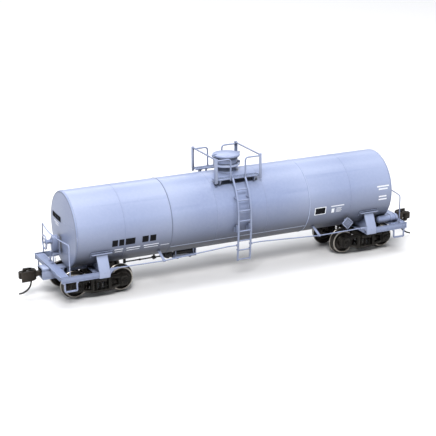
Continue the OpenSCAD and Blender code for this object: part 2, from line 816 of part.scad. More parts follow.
// window of the raised edge on a side frame's face
module offset_window() {
    translate([-4.2, 3.5]) square([8.4, 4.9]);
    for (s = [-1, 1])
        polygon([[s * 4.8, 3.8], [s * 4.8, 8.5], [s * (half_base - 1.9), 7.8], [s * (half_base - 1.9), 4.6]]);
}

module truck_frame_a() { translate([truck_x, 0, 0]) truck_frame(); }
module truck_frame_b() { translate([-truck_x, 0, 0]) truck_frame(); }

axle_r = 1;
axle_xs = [-truck_x - half_base, -truck_x + half_base, truck_x - half_base, truck_x + half_base];

// the two wheels of one axle, with flange, coned tread, rim, dished plate and hub
module wheel_pair(x) {
    back = back_to_back / 2;
    front = back + wheel_w;
    flange_w = 0.75;
    color(STEEL) for (s = [-1, 1]) translate([x, 0, axle_z]) rotate([s * -90, 0, 0])
        rotate_extrude($fn = 72) polygon([[axle_r, back - 0.3], [2.1, back - 0.3], [2.3, back + 0.5],
            [4.1, back + 0.7], [4.4, back], [tread_r + flange_h - 0.2, back],
            [tread_r + flange_h, back + 0.25], [tread_r + flange_h - 0.1, back + 0.5],
            [tread_r, back + flange_w], [tread_r - 0.12, front - 0.15], [tread_r - 0.3, front],
            [4.45, front], [4.2, front - 0.7], [2.2, front - 1], [1.9, front - 0.1], [axle_r, front - 0.1]]);
}

module wheels_1() { wheel_pair(axle_xs[0]); }
module wheels_2() { wheel_pair(axle_xs[1]); }
module wheels_3() { wheel_pair(axle_xs[2]); }
module wheels_4() { wheel_pair(axle_xs[3]); }

module axle(x) {
    half = axle_length / 2;
    cone = 1.15;
    color(BLACK) translate([x, 0, axle_z]) rotate([90, 0, 0]) rotate_extrude($fn = 48)
        polygon([[0, -half], [cone_r, -half + cone], [cone_r, half - cone], [0, half]]);
}

module axle_1() { axle(axle_xs[0]); }
module axle_2() { axle(axle_xs[1]); }
module axle_3() { axle(axle_xs[2]); }
module axle_4() { axle(axle_xs[3]); }

// ---- couplers ----

shank_half = 0.95;
shank_h = 1.9;
head_back = 88.4;
head_low = coupler_z - 2.2;
head_high = coupler_z + 2.2;
hinge_x = 92.5;
hinge_y = -1.75;
hinge_r = 0.35;
lug_t = 0.75;

module coupler() {
    eye_r = 1.9;
    color(DARK_BROWN) difference() {
        union() {
            translate([pivot_x, 0, coupler_z - shank_h / 2]) cylinder(r = eye_r, h = shank_h);
            span([pivot_x, -shank_half, coupler_z - shank_h / 2],
                [head_back + 1, shank_half, coupler_z + shank_h / 2]);
            translate([0, 0, head_low]) linear_extrude(head_high - head_low)
                polygon([[head_back, -1.1], [head_back, 1.1], [head_back + 1.4, 2.5], [91.8, 3],
                    [94.9, 3.1], [95.3, 2.7], [93.9, 1.9], [92.3, 1.5], [91.7, 0.4], [91.6, -0.7],
                    [hinge_x - 0.2, hinge_y + 1.05], [hinge_x + 0.9, hinge_y + 0.5],
                    [hinge_x + 0.9, hinge_y - 0.6], [hinge_x, hinge_y - 1.1], [90, -2.6]]);
        }
        translate([pivot_x, 0, 0]) cylinder(r = pivot_post_r + fit_gap, h = 20);
        translate([hinge_x, hinge_y, 0]) cylinder(r = hinge_r, h = 20);
        translate([0, 0, head_low + lug_t]) linear_extrude(head_high - head_low - 2 * lug_t)
            polygon([[91.2, 0.1], [96, 0.1], [96, -4], [92, -4], [90.9, -2]]);
        translate([90.4, 0, 0]) cylinder(r = 0.28, h = 12);
    }
}

module coupler_a() { coupler(); }
module coupler_b() { turned() coupler(); }

module knuckle() {
    play = 0.05;
    color(DARK_BROWN) translate([0, 0, head_low + lug_t + play]) difference() {
        linear_extrude(head_high - head_low - 2 * lug_t - 2 * play) union() {
            translate([hinge_x, hinge_y]) circle(r = 0.95, $fn = 32);
            polygon([[hinge_x - 0.1, hinge_y - 0.95], [hinge_x + 1.6, hinge_y - 0.75],
                [pulling_face - 0.3, -1.7], [pulling_face, -1], [pulling_face, 0.2],
                [pulling_face - 0.5, 0.7], [pulling_face - 1.1, 0.5], [pulling_face - 1.3, -0.5],
                [hinge_x + 0.6, hinge_y + 0.75]]);
        }
        translate([hinge_x, hinge_y, -1]) cylinder(r = hinge_r + fit_gap, h = 10);
    }
}

module knuckle_a() { knuckle(); }
module knuckle_b() { turned() knuckle(); }

module knuckle_rivet() {
    color(STEEL) {
        translate([hinge_x, hinge_y, head_low]) cylinder(r = hinge_r, h = head_high - head_low);
        translate([hinge_x, hinge_y, head_high]) cylinder(r = 0.6, h = 0.2);
    }
}

module knuckle_rivet_a() { knuckle_rivet(); }
module knuckle_rivet_b() { turned() knuckle_rivet(); }

// bent steel pin that hangs from the head and curves outwards
module trip_pin() {
    x = 90.4;
    r = 0.28;
    bend = 6;
    bend_z = 7.7;
    sweep = 84;
    lean = 25;
    color(STEEL) {
        rod([x, 0, bend_z], [x, 0, head_high], r);
        translate([x, 0, bend_z]) rotate([0, 0, -lean]) translate([bend, 0, 0])
            rotate([90, 0, 0]) rotate([0, 0, 180])
            rotate_extrude(angle = sweep, $fn = 64) translate([bend, 0]) circle(r = r, $fn = 20);
    }
}

module trip_pin_a() { trip_pin(); }
module trip_pin_b() { turned() trip_pin(); }

tank_barrel();
tank_end_b();
tank_end_a();
tank_belly_plate();
ballast_weight();
draft_sill_b();
draft_sill_a();
end_platform_b();
end_platform_a();
bolster_b();
bolster_a();
coupler_box_lids();
coupler_box_screws();
truck_screws();
manway_neck();
manway_lid();
manway_bolts();
walkway_near();
walkway_far();
walkway_brackets();
guard_posts();
guard_end_rails();
guard_side_rails();
ladder_near();
ladder_far();
ladder_standoffs();
handrail_near();
handrail_far();
handrail_stanchions();
stirrup_steps();
end_rail_b();
end_rail_a();
brake_stand();
brake_housing();
brake_wheel();
brake_cylinder();
control_valve();
brake_tray();
brake_rod();
air_reservoir();
reservoir_straps();
placard_holders();
truck_frame_b();
truck_frame_a();
wheels_1();
wheels_2();
wheels_3();
wheels_4();
axle_1();
axle_2();
axle_3();
axle_4();
coupler_b();
coupler_a();
knuckle_b();
knuckle_a();
knuckle_rivet_b();
knuckle_rivet_a();
trip_pin_b();
trip_pin_a();
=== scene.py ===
"""Looks of the HO-scale model tank wagon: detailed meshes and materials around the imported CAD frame."""

import json
from math import acos, asin, cos, hypot, pi, radians, sin, sqrt, tan

import bmesh
import bpy
from mathutils import Matrix, Vector


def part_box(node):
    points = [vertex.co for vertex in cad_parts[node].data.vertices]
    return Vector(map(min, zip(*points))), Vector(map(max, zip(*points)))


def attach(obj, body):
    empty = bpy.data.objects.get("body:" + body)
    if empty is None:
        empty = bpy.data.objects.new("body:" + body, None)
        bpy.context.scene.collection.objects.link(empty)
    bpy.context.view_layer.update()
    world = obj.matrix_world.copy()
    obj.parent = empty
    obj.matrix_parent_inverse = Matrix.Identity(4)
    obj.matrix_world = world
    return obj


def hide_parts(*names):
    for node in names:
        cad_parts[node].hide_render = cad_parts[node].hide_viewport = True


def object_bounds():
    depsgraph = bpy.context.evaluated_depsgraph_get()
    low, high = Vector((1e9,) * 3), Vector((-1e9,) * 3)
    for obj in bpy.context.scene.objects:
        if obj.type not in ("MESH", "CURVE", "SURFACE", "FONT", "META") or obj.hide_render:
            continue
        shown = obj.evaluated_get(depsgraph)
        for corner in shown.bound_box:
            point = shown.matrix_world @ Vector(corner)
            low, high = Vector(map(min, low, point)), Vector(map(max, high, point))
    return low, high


MM = 0.001
WAGON = "wagon"
MIRROR_X = Matrix.Diagonal((-1, 1, 1, 1))
MIRROR_Y = Matrix.Diagonal((1, -1, 1, 1))
HALF_TURN = Matrix.Rotation(pi, 4, "Z")
SAME = Matrix.Identity(4)
SIDES = (SAME, MIRROR_Y)
ENDS = (SAME, MIRROR_X)
CORNERS = (SAME, MIRROR_X, MIRROR_Y, MIRROR_X @ MIRROR_Y)
TURNS = {"a": SAME, "b": HALF_TURN}
FLANKS = {"far": SAME, "near": MIRROR_Y}

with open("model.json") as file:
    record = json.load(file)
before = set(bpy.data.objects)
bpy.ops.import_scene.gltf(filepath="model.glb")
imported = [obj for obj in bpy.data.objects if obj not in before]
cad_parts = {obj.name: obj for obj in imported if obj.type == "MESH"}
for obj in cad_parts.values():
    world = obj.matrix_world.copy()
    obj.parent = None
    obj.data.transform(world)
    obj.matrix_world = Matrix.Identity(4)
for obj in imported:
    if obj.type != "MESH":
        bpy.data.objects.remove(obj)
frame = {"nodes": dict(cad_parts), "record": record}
cad_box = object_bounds()
SCENE = bpy.context.scene


def span_of(node):
    """Lowest and highest corner of a CAD node, in millimetres."""
    low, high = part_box(node)
    return Vector(low) / MM, Vector(high) / MM


# ---- camera, floor and light

def look_at(obj, target, roll=0.0):
    way = Vector(target) - obj.location
    turn = way.to_track_quat("-Z", "Y").to_matrix().to_4x4()
    obj.rotation_euler = (turn @ Matrix.Rotation(roll, 4, "Z")).to_euler()


def add_camera():
    azimuth, elevation, distance = radians(-25.39), radians(17.61), 582.6 * MM
    target = Vector((-2.18, 0, 22.39)) * MM
    data = bpy.data.cameras.new("camera")
    data.sensor_width = 36
    data.lens = 109.2
    data.shift_x = -0.0093
    data.clip_start = 0.01
    camera = bpy.data.objects.new("camera", data)
    back = Vector((sin(azimuth) * cos(elevation), -cos(azimuth) * cos(elevation),
                   sin(elevation)))
    camera.location = target + distance * back
    look_at(camera, target, radians(-0.41))
    SCENE.collection.objects.link(camera)
    SCENE.camera = camera


def add_area(name, place, size, power, colour, target=(0, 0, 0.02)):
    data = bpy.data.lights.new(name, "AREA")
    data.shape = "RECTANGLE"
    data.size, data.size_y = size
    data.energy = power
    data.color = colour
    light = bpy.data.objects.new(name, data)
    light.location = place
    look_at(light, target)
    SCENE.collection.objects.link(light)


def add_studio():
    world = bpy.data.worlds.new("studio")
    SCENE.world = world
    world.use_nodes = True
    background = world.node_tree.nodes["Background"]
    background.inputs["Color"].default_value = (0.93, 0.95, 1.0, 1)
    background.inputs["Strength"].default_value = 0.20
    add_area("key", (-0.30, -0.62, 0.80), (0.40, 0.30), 8.6, (1.0, 0.99, 0.98))
    add_area("top", (0.1, 0.15, 1.1), (1.2, 0.7), 11.0, (0.97, 0.98, 1.0))
    add_area("backdrop", (0.0, 2.6, 1.6), (3.5, 1.6), 70.0, (1.0, 1.0, 1.0), (0.0, 2.6, 0.0))
    add_area("fill", (-1.0, -0.15, 0.45), (0.4, 0.4), 1.2, (0.92, 0.95, 1.0))
    SCENE.view_settings.view_transform = "Standard"

    bm = bmesh.new()
    bmesh.ops.create_grid(bm, x_segments=2, y_segments=2, size=4.0)
    mesh = bpy.data.meshes.new("floor")
    bm.to_mesh(mesh)
    bm.free()
    floor = bpy.data.objects.new("floor", mesh)
    floor.location.z = cad_box[0][2] - 0.02 * MM
    material = bpy.data.materials.new("floor")
    material.use_nodes = True
    shader = material.node_tree.nodes["Principled BSDF"]
    shader.inputs["Base Color"].default_value = (0.86, 0.86, 0.87, 1)
    shader.inputs["Roughness"].default_value = 0.85
    mesh.materials.append(material)
    SCENE.collection.objects.link(floor)


# ---- materials

def mix_colour(tree, factor, low, high, blend="MIX"):
    """A colour mix node; low and high are sockets or colours."""
    node = tree.nodes.new("ShaderNodeMix")
    node.data_type = "RGBA"
    node.blend_type = blend
    for socket, value in ((node.inputs[0], factor), (node.inputs[6], low), (node.inputs[7], high)):
        if isinstance(value, bpy.types.NodeSocket):
            tree.links.new(value, socket)
        elif isinstance(value, (int, float)):
            socket.default_value = value
        else:
            socket.default_value = (*value, 1)
    return node.outputs[2]


def noise_at(tree, scale, detail):
    """Noise that sticks to the object; scale is in features per metre."""
    place = tree.nodes.new("ShaderNodeTexCoord")
    noise = tree.nodes.new("ShaderNodeTexNoise")
    noise.inputs["Scale"].default_value = scale
    noise.inputs["Detail"].default_value = detail
    tree.links.new(place.outputs["Object"], noise.inputs["Vector"])
    return noise.outputs["Fac"]


def map_range(tree, value, low, high, to_low, to_high):
    node = tree.nodes.new("ShaderNodeMapRange")
    for name, number in (("From Min", low), ("From Max", high), ("To Min", to_low), ("To Max", to_high)):
        node.inputs[name].default_value = number
    tree.links.new(value, node.inputs["Value"])
    return node.outputs["Result"]


PATCHES = 55.0  # mottled patches per metre
BUMP_TO_GRAIN = 2.2


def surface(name, colour, mottle, edge, rough, metal=0.0, specular=0.5, grain=900.0, bump=0.006,
            crevice=0.75, under=None):
    """A layered surface: mottled colour, edges lightened as wear and painted highlight, painted shade in
    crevices and, where an underside colour is given, on faces turned downwards, uneven gloss and a fine bump.
    """
    material = bpy.data.materials.new(name)
    material.use_nodes = True
    tree = material.node_tree
    shader = tree.nodes["Principled BSDF"]
    shader.inputs["Metallic"].default_value = metal
    shader.inputs["Specular IOR Level"].default_value = specular

    broad = map_range(tree, noise_at(tree, PATCHES, 5.0), 0.3, 0.7, 0, 1)
    fine = map_range(tree, noise_at(tree, grain, 3.0), 0.35, 0.65, 0, 1)
    base = mix_colour(tree, broad, colour, mottle)
    speck = mix_colour(tree, map_range(tree, fine, 0, 1, 0, 0.10), base, edge)

    geometry = tree.nodes.new("ShaderNodeNewGeometry")
    # Pointiness lightens sharp outer edges towards the edge colour: partly wear, partly painted highlight.
    edge_wear_and_highlight = map_range(tree, geometry.outputs["Pointiness"], 0.53, 0.62, 0, 0.5)
    layered_colour = mix_colour(tree, edge_wear_and_highlight, speck, edge)
    # Painted shade: faces turned downwards are darkened towards the underside colour.
    if under:
        facing = tree.nodes.new("ShaderNodeSeparateXYZ")
        tree.links.new(geometry.outputs["Normal"], facing.inputs["Vector"])
        layered_colour = mix_colour(tree, map_range(tree, facing.outputs["Z"], 0.34, -0.72, 0, 0.92),
                            layered_colour, under)
    # Painted shade: ambient occlusion darkens crevices and the gaps between parts.
    hollow = tree.nodes.new("ShaderNodeAmbientOcclusion")
    hollow.samples = 6
    hollow.inputs["Distance"].default_value = 2.2 * MM
    shade = map_range(tree, hollow.outputs["AO"], 0.25, 0.95, 1 - crevice, 1.0)
    dark = mix_colour(tree, 1.0, layered_colour, shade, "MULTIPLY")
    tree.links.new(dark, shader.inputs["Base Color"])

    tree.links.new(map_range(tree, broad, 0, 1, rough - 0.05, rough + 0.06), shader.inputs["Roughness"])
    bump_node = tree.nodes.new("ShaderNodeBump")
    bump_node.inputs["Strength"].default_value = 0.35
    bump_node.inputs["Distance"].default_value = bump * MM
    tree.links.new(noise_at(tree, grain * BUMP_TO_GRAIN, 2.0), bump_node.inputs["Height"])
    tree.links.new(bump_node.outputs["Normal"], shader.inputs["Normal"])
    return material


# name: colour, mottle, edge colour (wear and painted highlight), roughness and the rest
SURFACES = {
    "body_paint": ((0.262, 0.318, 0.500), (0.285, 0.338, 0.515), (0.46, 0.52, 0.70), 0.36,
                   dict(bump=0.010, under=(0.030, 0.031, 0.036))),
    "walk_paint": ((0.255, 0.315, 0.52), (0.235, 0.29, 0.475), (0.44, 0.51, 0.70), 0.5,
                   dict(bump=0.02, crevice=0.85, under=(0.040, 0.043, 0.055))),
    # Painted shade: a darker copy of the body paint, so thin rails read darker.
    "rail_shade_paint": ((0.15, 0.18, 0.30), (0.18, 0.21, 0.34), (0.30, 0.35, 0.50), 0.4,
                   dict(under=(0.03, 0.03, 0.04))),
    # Painted highlight: a lighter copy of the body paint for the lit crests of seams and the manway flange.
    "seam_highlight_paint": ((0.36, 0.42, 0.60), (0.40, 0.46, 0.64), (0.55, 0.61, 0.76), 0.4, dict(crevice=0.3)),
    # Painted shade: a darker copy of the body paint for the shaded sides of seams and the groove round each
    # head.
    "seam_shade_paint": ((0.10, 0.12, 0.18), (0.13, 0.15, 0.21), (0.2, 0.23, 0.3), 0.5, dict(crevice=0.3)),
    # Painted shade and shadow: under the manway lid, round its flange and under the walkways.
    "top_shade_paint": ((0.035, 0.04, 0.06), (0.06, 0.07, 0.10), (0.14, 0.17, 0.24), 0.55, dict(crevice=0.5)),
    "decal_black": ((0.004, 0.004, 0.005), (0.007, 0.007, 0.008), (0.02, 0.02, 0.022), 0.8,
                    dict(specular=0.05, bump=0.004)),
    "decal_white": ((0.74, 0.76, 0.82), (0.80, 0.82, 0.88), (0.86, 0.88, 0.92), 0.45,
                    dict(bump=0.004, crevice=0.2)),
    "underframe_black": ((0.006, 0.006, 0.007), (0.010, 0.010, 0.010), (0.045, 0.044, 0.045), 0.5,
                         dict(specular=0.3, bump=0.02)),
    "truck_plastic": ((0.0035, 0.0032, 0.003), (0.007, 0.0065, 0.006), (0.075, 0.070, 0.062), 0.4,
                      dict(specular=0.1, bump=0.02)),
    "wheel_metal": ((0.020, 0.018, 0.016), (0.032, 0.028, 0.024), (0.22, 0.20, 0.18), 0.36,
                    dict(metal=0.6, specular=0.35, bump=0.012)),
    "wheel_tread": ((0.30, 0.28, 0.25), (0.36, 0.33, 0.29), (0.62, 0.60, 0.56), 0.30,
                    dict(metal=1.0, bump=0.004, crevice=0.5)),
    "axle_black": ((0.008, 0.008, 0.008), (0.014, 0.013, 0.012), (0.07, 0.065, 0.06), 0.45,
                   dict(specular=0.35, bump=0.01)),
    "coupler_metal": ((0.007, 0.0055, 0.0045), (0.013, 0.010, 0.008), (0.09, 0.078, 0.065), 0.5,
                      dict(specular=0.12, bump=0.03)),
    "pin_steel": ((0.014, 0.013, 0.012), (0.024, 0.022, 0.020), (0.14, 0.13, 0.12), 0.4,
                  dict(metal=0.3, specular=0.3, bump=0.008)),
    "screw_steel": ((0.42, 0.42, 0.43), (0.50, 0.50, 0.51), (0.75, 0.75, 0.76), 0.30, dict(metal=1.0)),
    "ballast_steel": ((0.30, 0.29, 0.28), (0.36, 0.34, 0.32), (0.5, 0.5, 0.5), 0.45,
                      dict(metal=0.9, bump=0.02)),
}


# ---- mesh building, in millimetres

def steps(start, end, count):
    """Evenly spaced values from start to end, both included."""
    return [start + (end - start) * i / count for i in range(count + 1)]


def circle(radius, sides, x=0.0, y=0.0):
    return [(x + radius * cos(t), y + radius * sin(t)) for t in steps(0, 2 * pi, sides)[:-1]]


def arc(radius, start, end, count, x=0.0, y=0.0):
    """Points on part of a circle, between two angles in degrees."""
    return [(x + radius * cos(radians(t)), y + radius * sin(radians(t))) for t in steps(start, end, count)]


def mirrored(profile, length):
    """A (radius, height) profile followed by its mirror image at the other end of the length."""
    return profile + [(r, length - h) for r, h in reversed(profile)]


def ring(bm, points):
    return [bm.verts.new(p) for p in points]


def bridge(bm, a, b):
    n = len(a)
    for i in range(n):
        bm.faces.new((a[i], a[(i + 1) % n], b[(i + 1) % n], b[i]))


def revolve(bm, profile, matrix, segments=96):
    """Turns (radius, height) points about local Z; a radius of 0 closes the end."""
    rings = []
    for radius, height in profile:
        points = circle(radius, segments) if radius > 1e-6 else [(0, 0)]
        rings.append(ring(bm, [matrix @ Vector((x, y, height)) for x, y in points]))
    for a, b in zip(rings, rings[1:]):
        if len(a) > 1 and len(b) > 1:
            bridge(bm, a, b)
            continue
        tip, rim = (a[0], b) if len(a) == 1 else (b[0], a)
        for i in range(segments):
            bm.faces.new((tip, rim[(i + 1) % segments], rim[i]))
    if len(rings[0]) > 1 and len(rings[-1]) > 1:
        bridge(bm, rings[-1], rings[0])


def at(x=0.0, y=0.0, z=0.0):
    return Matrix.Translation((x, y, z))


def spun(angle, axis):
    return Matrix.Rotation(angle, 4, axis)


def axis_x(x=0.0, y=0.0, z=0.0):
    return at(x, y, z) @ spun(pi / 2, "Y")


def axis_y(x=0.0, y=0.0, z=0.0, side=1):
    """Local Z along +Y, or along -Y for side -1."""
    return at(x, y, z) @ spun(-side * pi / 2, "X")


def drum(bm, radius, length, matrix, edge=0.1, segments=48):
    """A cylinder with rounded edges, from local Z = 0 to its length."""
    edge = min(edge, radius * 0.5, length * 0.45)
    corner = [(radius - edge + edge * sin(t), edge - edge * cos(t)) for t in steps(0, pi / 2, 3)]
    revolve(bm, mirrored([(0, 0)] + corner, length), matrix, segments)


def block(bm, one, other, edge=0.07, matrix=SAME):
    """A box with rounded edges between two opposite corners."""
    low, high = Vector(map(min, one, other)), Vector(map(max, one, other))
    size = high - low
    made = bmesh.ops.create_cube(bm, size=1.0)["verts"]
    for v in made:
        v.co = low + Vector((size[k] * (v.co[k] + 0.5) for k in range(3)))
    edges = list({e for v in made for e in v.link_edges})
    out = bmesh.ops.bevel(bm, geom=edges, offset=min(edge, 0.42 * min(size)), segments=2, profile=0.5,
                          affect="EDGES")
    for v in {v for f in out["faces"] for v in f.verts}:
        v.co = matrix @ v.co


def fillet(points, radius, count=6):
    """Rounds the inner corners of a line of points."""
    points = [Vector(p) for p in points]
    out = [points[0]]
    for before, corner, after in zip(points, points[1:], points[2:]):
        a, b = (before - corner).normalized(), (after - corner).normalized()
        shorter = min((before - corner).length, (after - corner).length)
        reach = min(radius / tan(a.angle(b) / 2), 0.49 * shorter)
        start, end = corner + a * reach, corner + b * reach
        out += [start * (1 - t) ** 2 + corner * 2 * t * (1 - t) + end * t ** 2 for t in steps(0, 1, count)]
    return out + [points[-1]]


def sweep(bm, points, section, up=None):
    """Carries a closed 2-D section along a path; up keeps a flat bar from twisting."""
    points = [Vector(p) for p in points]
    rings = []
    side = None
    for i, p in enumerate(points):
        ahead = (points[min(i + 1, len(points) - 1)] - points[max(i - 1, 0)]).normalized()
        if up is not None:
            side = ahead.cross(Vector(up)).normalized()
        elif side is None:
            side = ahead.orthogonal().normalized()
        else:
            side = (side - ahead * side.dot(ahead)).normalized()
        top = side.cross(ahead)
        rings.append(ring(bm, [p + side * u + top * v for u, v in section]))
    for a, b in zip(rings, rings[1:]):
        bridge(bm, a, b)
    bm.faces.new(reversed(rings[0]))
    bm.faces.new(rings[-1])


def bar_section(width, depth, edge=0.08):
    """A rectangle with cut corners."""
    w, d = width / 2, depth / 2
    return [(w - edge, -d), (w, -d + edge), (w, d - edge), (w - edge, d),
            (-w + edge, d), (-w, d - edge), (-w, -d + edge), (-w + edge, -d)]


def wire(bm, points, radius, corner=0.8):
    sweep(bm, fillet(points, corner) if len(points) > 2 else points, circle(radius, 14))


def hexagon(bm, radius, height, matrix):
    """A nut or bolt head with a washer under it."""
    drum(bm, radius * 1.25, height * 0.25, matrix, 0.03, 20)
    sides = [(radius, 0.0), (radius, height * 0.85), (radius * 0.85, height)]
    revolve(bm, [(0, 0)] + sides + [(0, height)], matrix, 6)


def plate(bm, outlines, thickness, matrix, edge=0.07):
    """A flat plate cut to outlines, the first outside and the rest holes, with rounded edges."""
    curve = bpy.data.curves.new("outline", "CURVE")
    curve.dimensions = "2D"
    curve.fill_mode = "BOTH"
    edge = min(edge, thickness * 0.45)
    curve.extrude = thickness / 2 - edge
    curve.bevel_depth = edge
    curve.bevel_resolution = 1
    curve.offset = -edge
    for outline in outlines:
        spline = curve.splines.new("POLY")
        spline.points.add(len(outline) - 1)
        for point, (x, y) in zip(spline.points, outline):
            point.co = (x, y, 0, 1)
        spline.use_cyclic_u = True
    holder = bpy.data.objects.new("outline", curve)
    SCENE.collection.objects.link(holder)
    bpy.context.view_layer.update()
    mesh = bpy.data.meshes.new_from_object(holder.evaluated_get(bpy.context.evaluated_depsgraph_get()))
    bpy.data.objects.remove(holder)
    bpy.data.curves.remove(curve)
    mesh.transform(matrix @ at(0, 0, thickness / 2))
    start = len(bm.verts)
    bm.from_mesh(mesh)
    bpy.data.meshes.remove(mesh)
    bm.verts.ensure_lookup_table()
    bmesh.ops.remove_doubles(bm, verts=bm.verts[start:], dist=1e-4)


def in_xz(y):
    """Plates drawn in X and Z, thick towards +Y from y."""
    return at(0, y, 0) @ Matrix(((1, 0, 0, 0), (0, 0, 1, 0), (0, 1, 0, 0), (0, 0, 0, 1)))


def in_yz(x):
    """Plates drawn in Y and Z, thick towards +X from x."""
    return at(x, 0, 0) @ Matrix(((0, 0, 1, 0), (1, 0, 0, 0), (0, 1, 0, 0), (0, 0, 0, 1)))


def grid_slab(bm, outer, inner):
    """Joins two equal grids of vertices into a closed slab."""
    for i in range(len(outer) - 1):
        for j in range(len(outer[0]) - 1):
            bm.faces.new((outer[i][j], outer[i][j + 1], outer[i + 1][j + 1], outer[i + 1][j]))
            bm.faces.new((inner[i][j], inner[i + 1][j], inner[i + 1][j + 1], inner[i][j + 1]))
    bridge(bm, *(g[0] + [row[-1] for row in g[1:-1]] + g[-1][::-1] + [row[0] for row in g[-2:0:-1]]
                 for g in (outer, inner)))


def curved_slab(bm, x0, x1, a0, a1, r0, r1, along=2, round_it=24):
    """A slab of shell about the tank's axis between two stations, two angles and two radii."""
    grid_slab(bm, *([ring(bm, [(x, r * cos(a), TANK_Z + r * sin(a)) for a in steps(a0, a1, round_it)])
                     for x in steps(x0, x1, along)] for r in (r1, r0)))


def stamp(bm, build, matrices):
    """Runs a builder once and adds a copy of its shape at each matrix."""
    source = bmesh.new()
    build(source)
    mesh = bpy.data.meshes.new("stamp")
    source.to_mesh(mesh)
    source.free()
    for matrix in matrices:
        copy = mesh.copy()
        copy.transform(matrix)
        if matrix.determinant() < 0:
            copy.flip_normals()
        bm.from_mesh(copy)
        bpy.data.meshes.remove(copy)
    bpy.data.meshes.remove(mesh)


def add_piece(name, build, matrices, nodes=(), material="body_paint", body=WAGON, smooth=35.0):
    """Builds a piece, gives it its material, body and slot, and hides the CAD nodes it stands for."""
    bm = bmesh.new()
    stamp(bm, build, matrices)
    bmesh.ops.recalc_face_normals(bm, faces=bm.faces)
    mesh = bpy.data.meshes.new(name)
    bm.to_mesh(mesh)
    bm.free()
    mesh.transform(Matrix.Scale(MM, 4))
    mesh.shade_smooth()
    mesh.set_sharp_from_angle(angle=radians(smooth))
    mesh.materials.append(MATERIALS[material])
    piece = bpy.data.objects.new(name, mesh)
    SCENE.collection.objects.link(piece)
    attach(piece, body)
    if nodes:
        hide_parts(*nodes)
    return piece


def add_pair(name, build, node, material="body_paint", body=WAGON, places=TURNS):
    """One piece for each end, or for each side, whose key goes into the names."""
    for key, matrix in places.items():
        add_piece(name.format(key), build, [matrix], [node.format(key)], material, body.format(key))


add_camera()
add_studio()
MATERIALS = {name: surface(name, *looks, **more) for name, (*looks, more) in SURFACES.items()}

# ---- the tank

barrel_low, barrel_high = span_of("tank_barrel")
ring_low, ring_high = span_of("tank_end_a")
TANK_R = (ring_high.y - ring_low.y) / 2
TANK_Z = (ring_high.z + ring_low.z) / 2
TANK_END = barrel_high.x
SEAM_H = (barrel_high.y - barrel_low.y) / 2 - TANK_R
SHELL = 1.1
SEAM_X = 32.7
BELLY_HALF = radians(50)
PLAIN_SEAMS = (-54.0, -11.8)
SHADED_SEAMS = (11.8, 54.0)
HEAD_BASE = TANK_END + 0.8
HEAD_REACH = ring_high.x
HEAD_FLAT = TANK_R - 0.6
HEAD_CROWN = HEAD_REACH - HEAD_BASE
HEAD_SPHERE = (HEAD_FLAT ** 2 + HEAD_CROWN ** 2) / (2 * HEAD_CROWN)


def weld_ring(bm, x, width, height):
    """A low rounded bead round the barrel."""
    profile = [(TANK_R - 0.02 + height * sin(pi * t), width * (t - 0.5)) for t in steps(0, 1, 8)]
    profile += [(TANK_R - 0.25, width / 2), (TANK_R - 0.25, -width / 2)]
    revolve(bm, profile, axis_x(x, 0, TANK_Z), 160)


def build_barrel(bm):
    inner = TANK_R - SHELL
    for s in (-1, 1):
        start, end = sorted((s * SEAM_X, s * TANK_END))
        profile = [(TANK_R, start), (TANK_R, (start + end) / 2), (TANK_R, end), (inner, end), (inner, start)]
        revolve(bm, profile, axis_x(0, 0, TANK_Z), 160)
        weld_ring(bm, s * SEAM_X, 0.5, SEAM_H)
    for x in PLAIN_SEAMS + SHADED_SEAMS:
        weld_ring(bm, x, 0.34, 0.1)
    curved_slab(bm, -SEAM_X, SEAM_X, BELLY_HALF - pi / 2, 1.5 * pi - BELLY_HALF, inner, TANK_R, 4, 116)


def head_x(y, z):
    """Outer surface of a tank head, as a positive X."""
    return HEAD_REACH - HEAD_SPHERE + sqrt(HEAD_SPHERE ** 2 - y * y - (z - TANK_Z) ** 2)


def build_head(bm):
    seat, edge, inner = ring_low.x, TANK_R - HEAD_FLAT, TANK_R - SHELL - 0.05
    profile = [(0, HEAD_REACH)] + [(r, head_x(r, TANK_Z)) for r in steps(0, HEAD_FLAT, 14)[1:]]
    profile += [(HEAD_FLAT + 0.03, HEAD_BASE - 0.22), (HEAD_FLAT + 0.19, HEAD_BASE - 0.22),
                (HEAD_FLAT + 0.22, HEAD_BASE - 0.06)]
    profile += [(HEAD_FLAT + edge * cos(t), HEAD_BASE - edge + edge * sin(t))
                for t in steps(pi / 2, 0, 5)[2:]]
    profile += [(TANK_R, TANK_END + 0.06), (TANK_R - 0.1, TANK_END + 0.01), (inner, TANK_END), (inner, seat),
                (inner - 1.15, seat), (inner - 1.15, TANK_END - 0.4), (0, TANK_END - 0.4)]
    revolve(bm, profile, axis_x(0, 0, TANK_Z), 160)
    # a narrow weld across the head, just above its middle
    rise = 3.6
    across = [y for y in steps(1 - TANK_R, TANK_R - 1, 24) if hypot(y, rise) < HEAD_FLAT]
    sweep(bm, [(head_x(y, TANK_Z + rise) - 0.03, y, TANK_Z + rise) for y in across], circle(0.11, 8))


def build_belly(bm):
    gap = radians(0.25)
    x = SEAM_X - 0.3
    curved_slab(bm, -x, x, -pi / 2 - BELLY_HALF + gap, -pi / 2 + BELLY_HALF - gap, TANK_R - SHELL,
                TANK_R + 0.03, 4, 46)


def build_seam_highlights(bm):
    # Painted highlight on the main seam's crest and along the belly plate's edges.
    weld_ring(bm, SEAM_X + 0.2, 0.4, SEAM_H + 0.06)
    lip, x = radians(0.9), SEAM_X - 0.3
    for a in (-pi / 2 - BELLY_HALF - lip / 2, -pi / 2 + BELLY_HALF - lip / 2):
        curved_slab(bm, -x, x, a, a + lip, TANK_R - 0.2, TANK_R + 0.08, 2, 3)


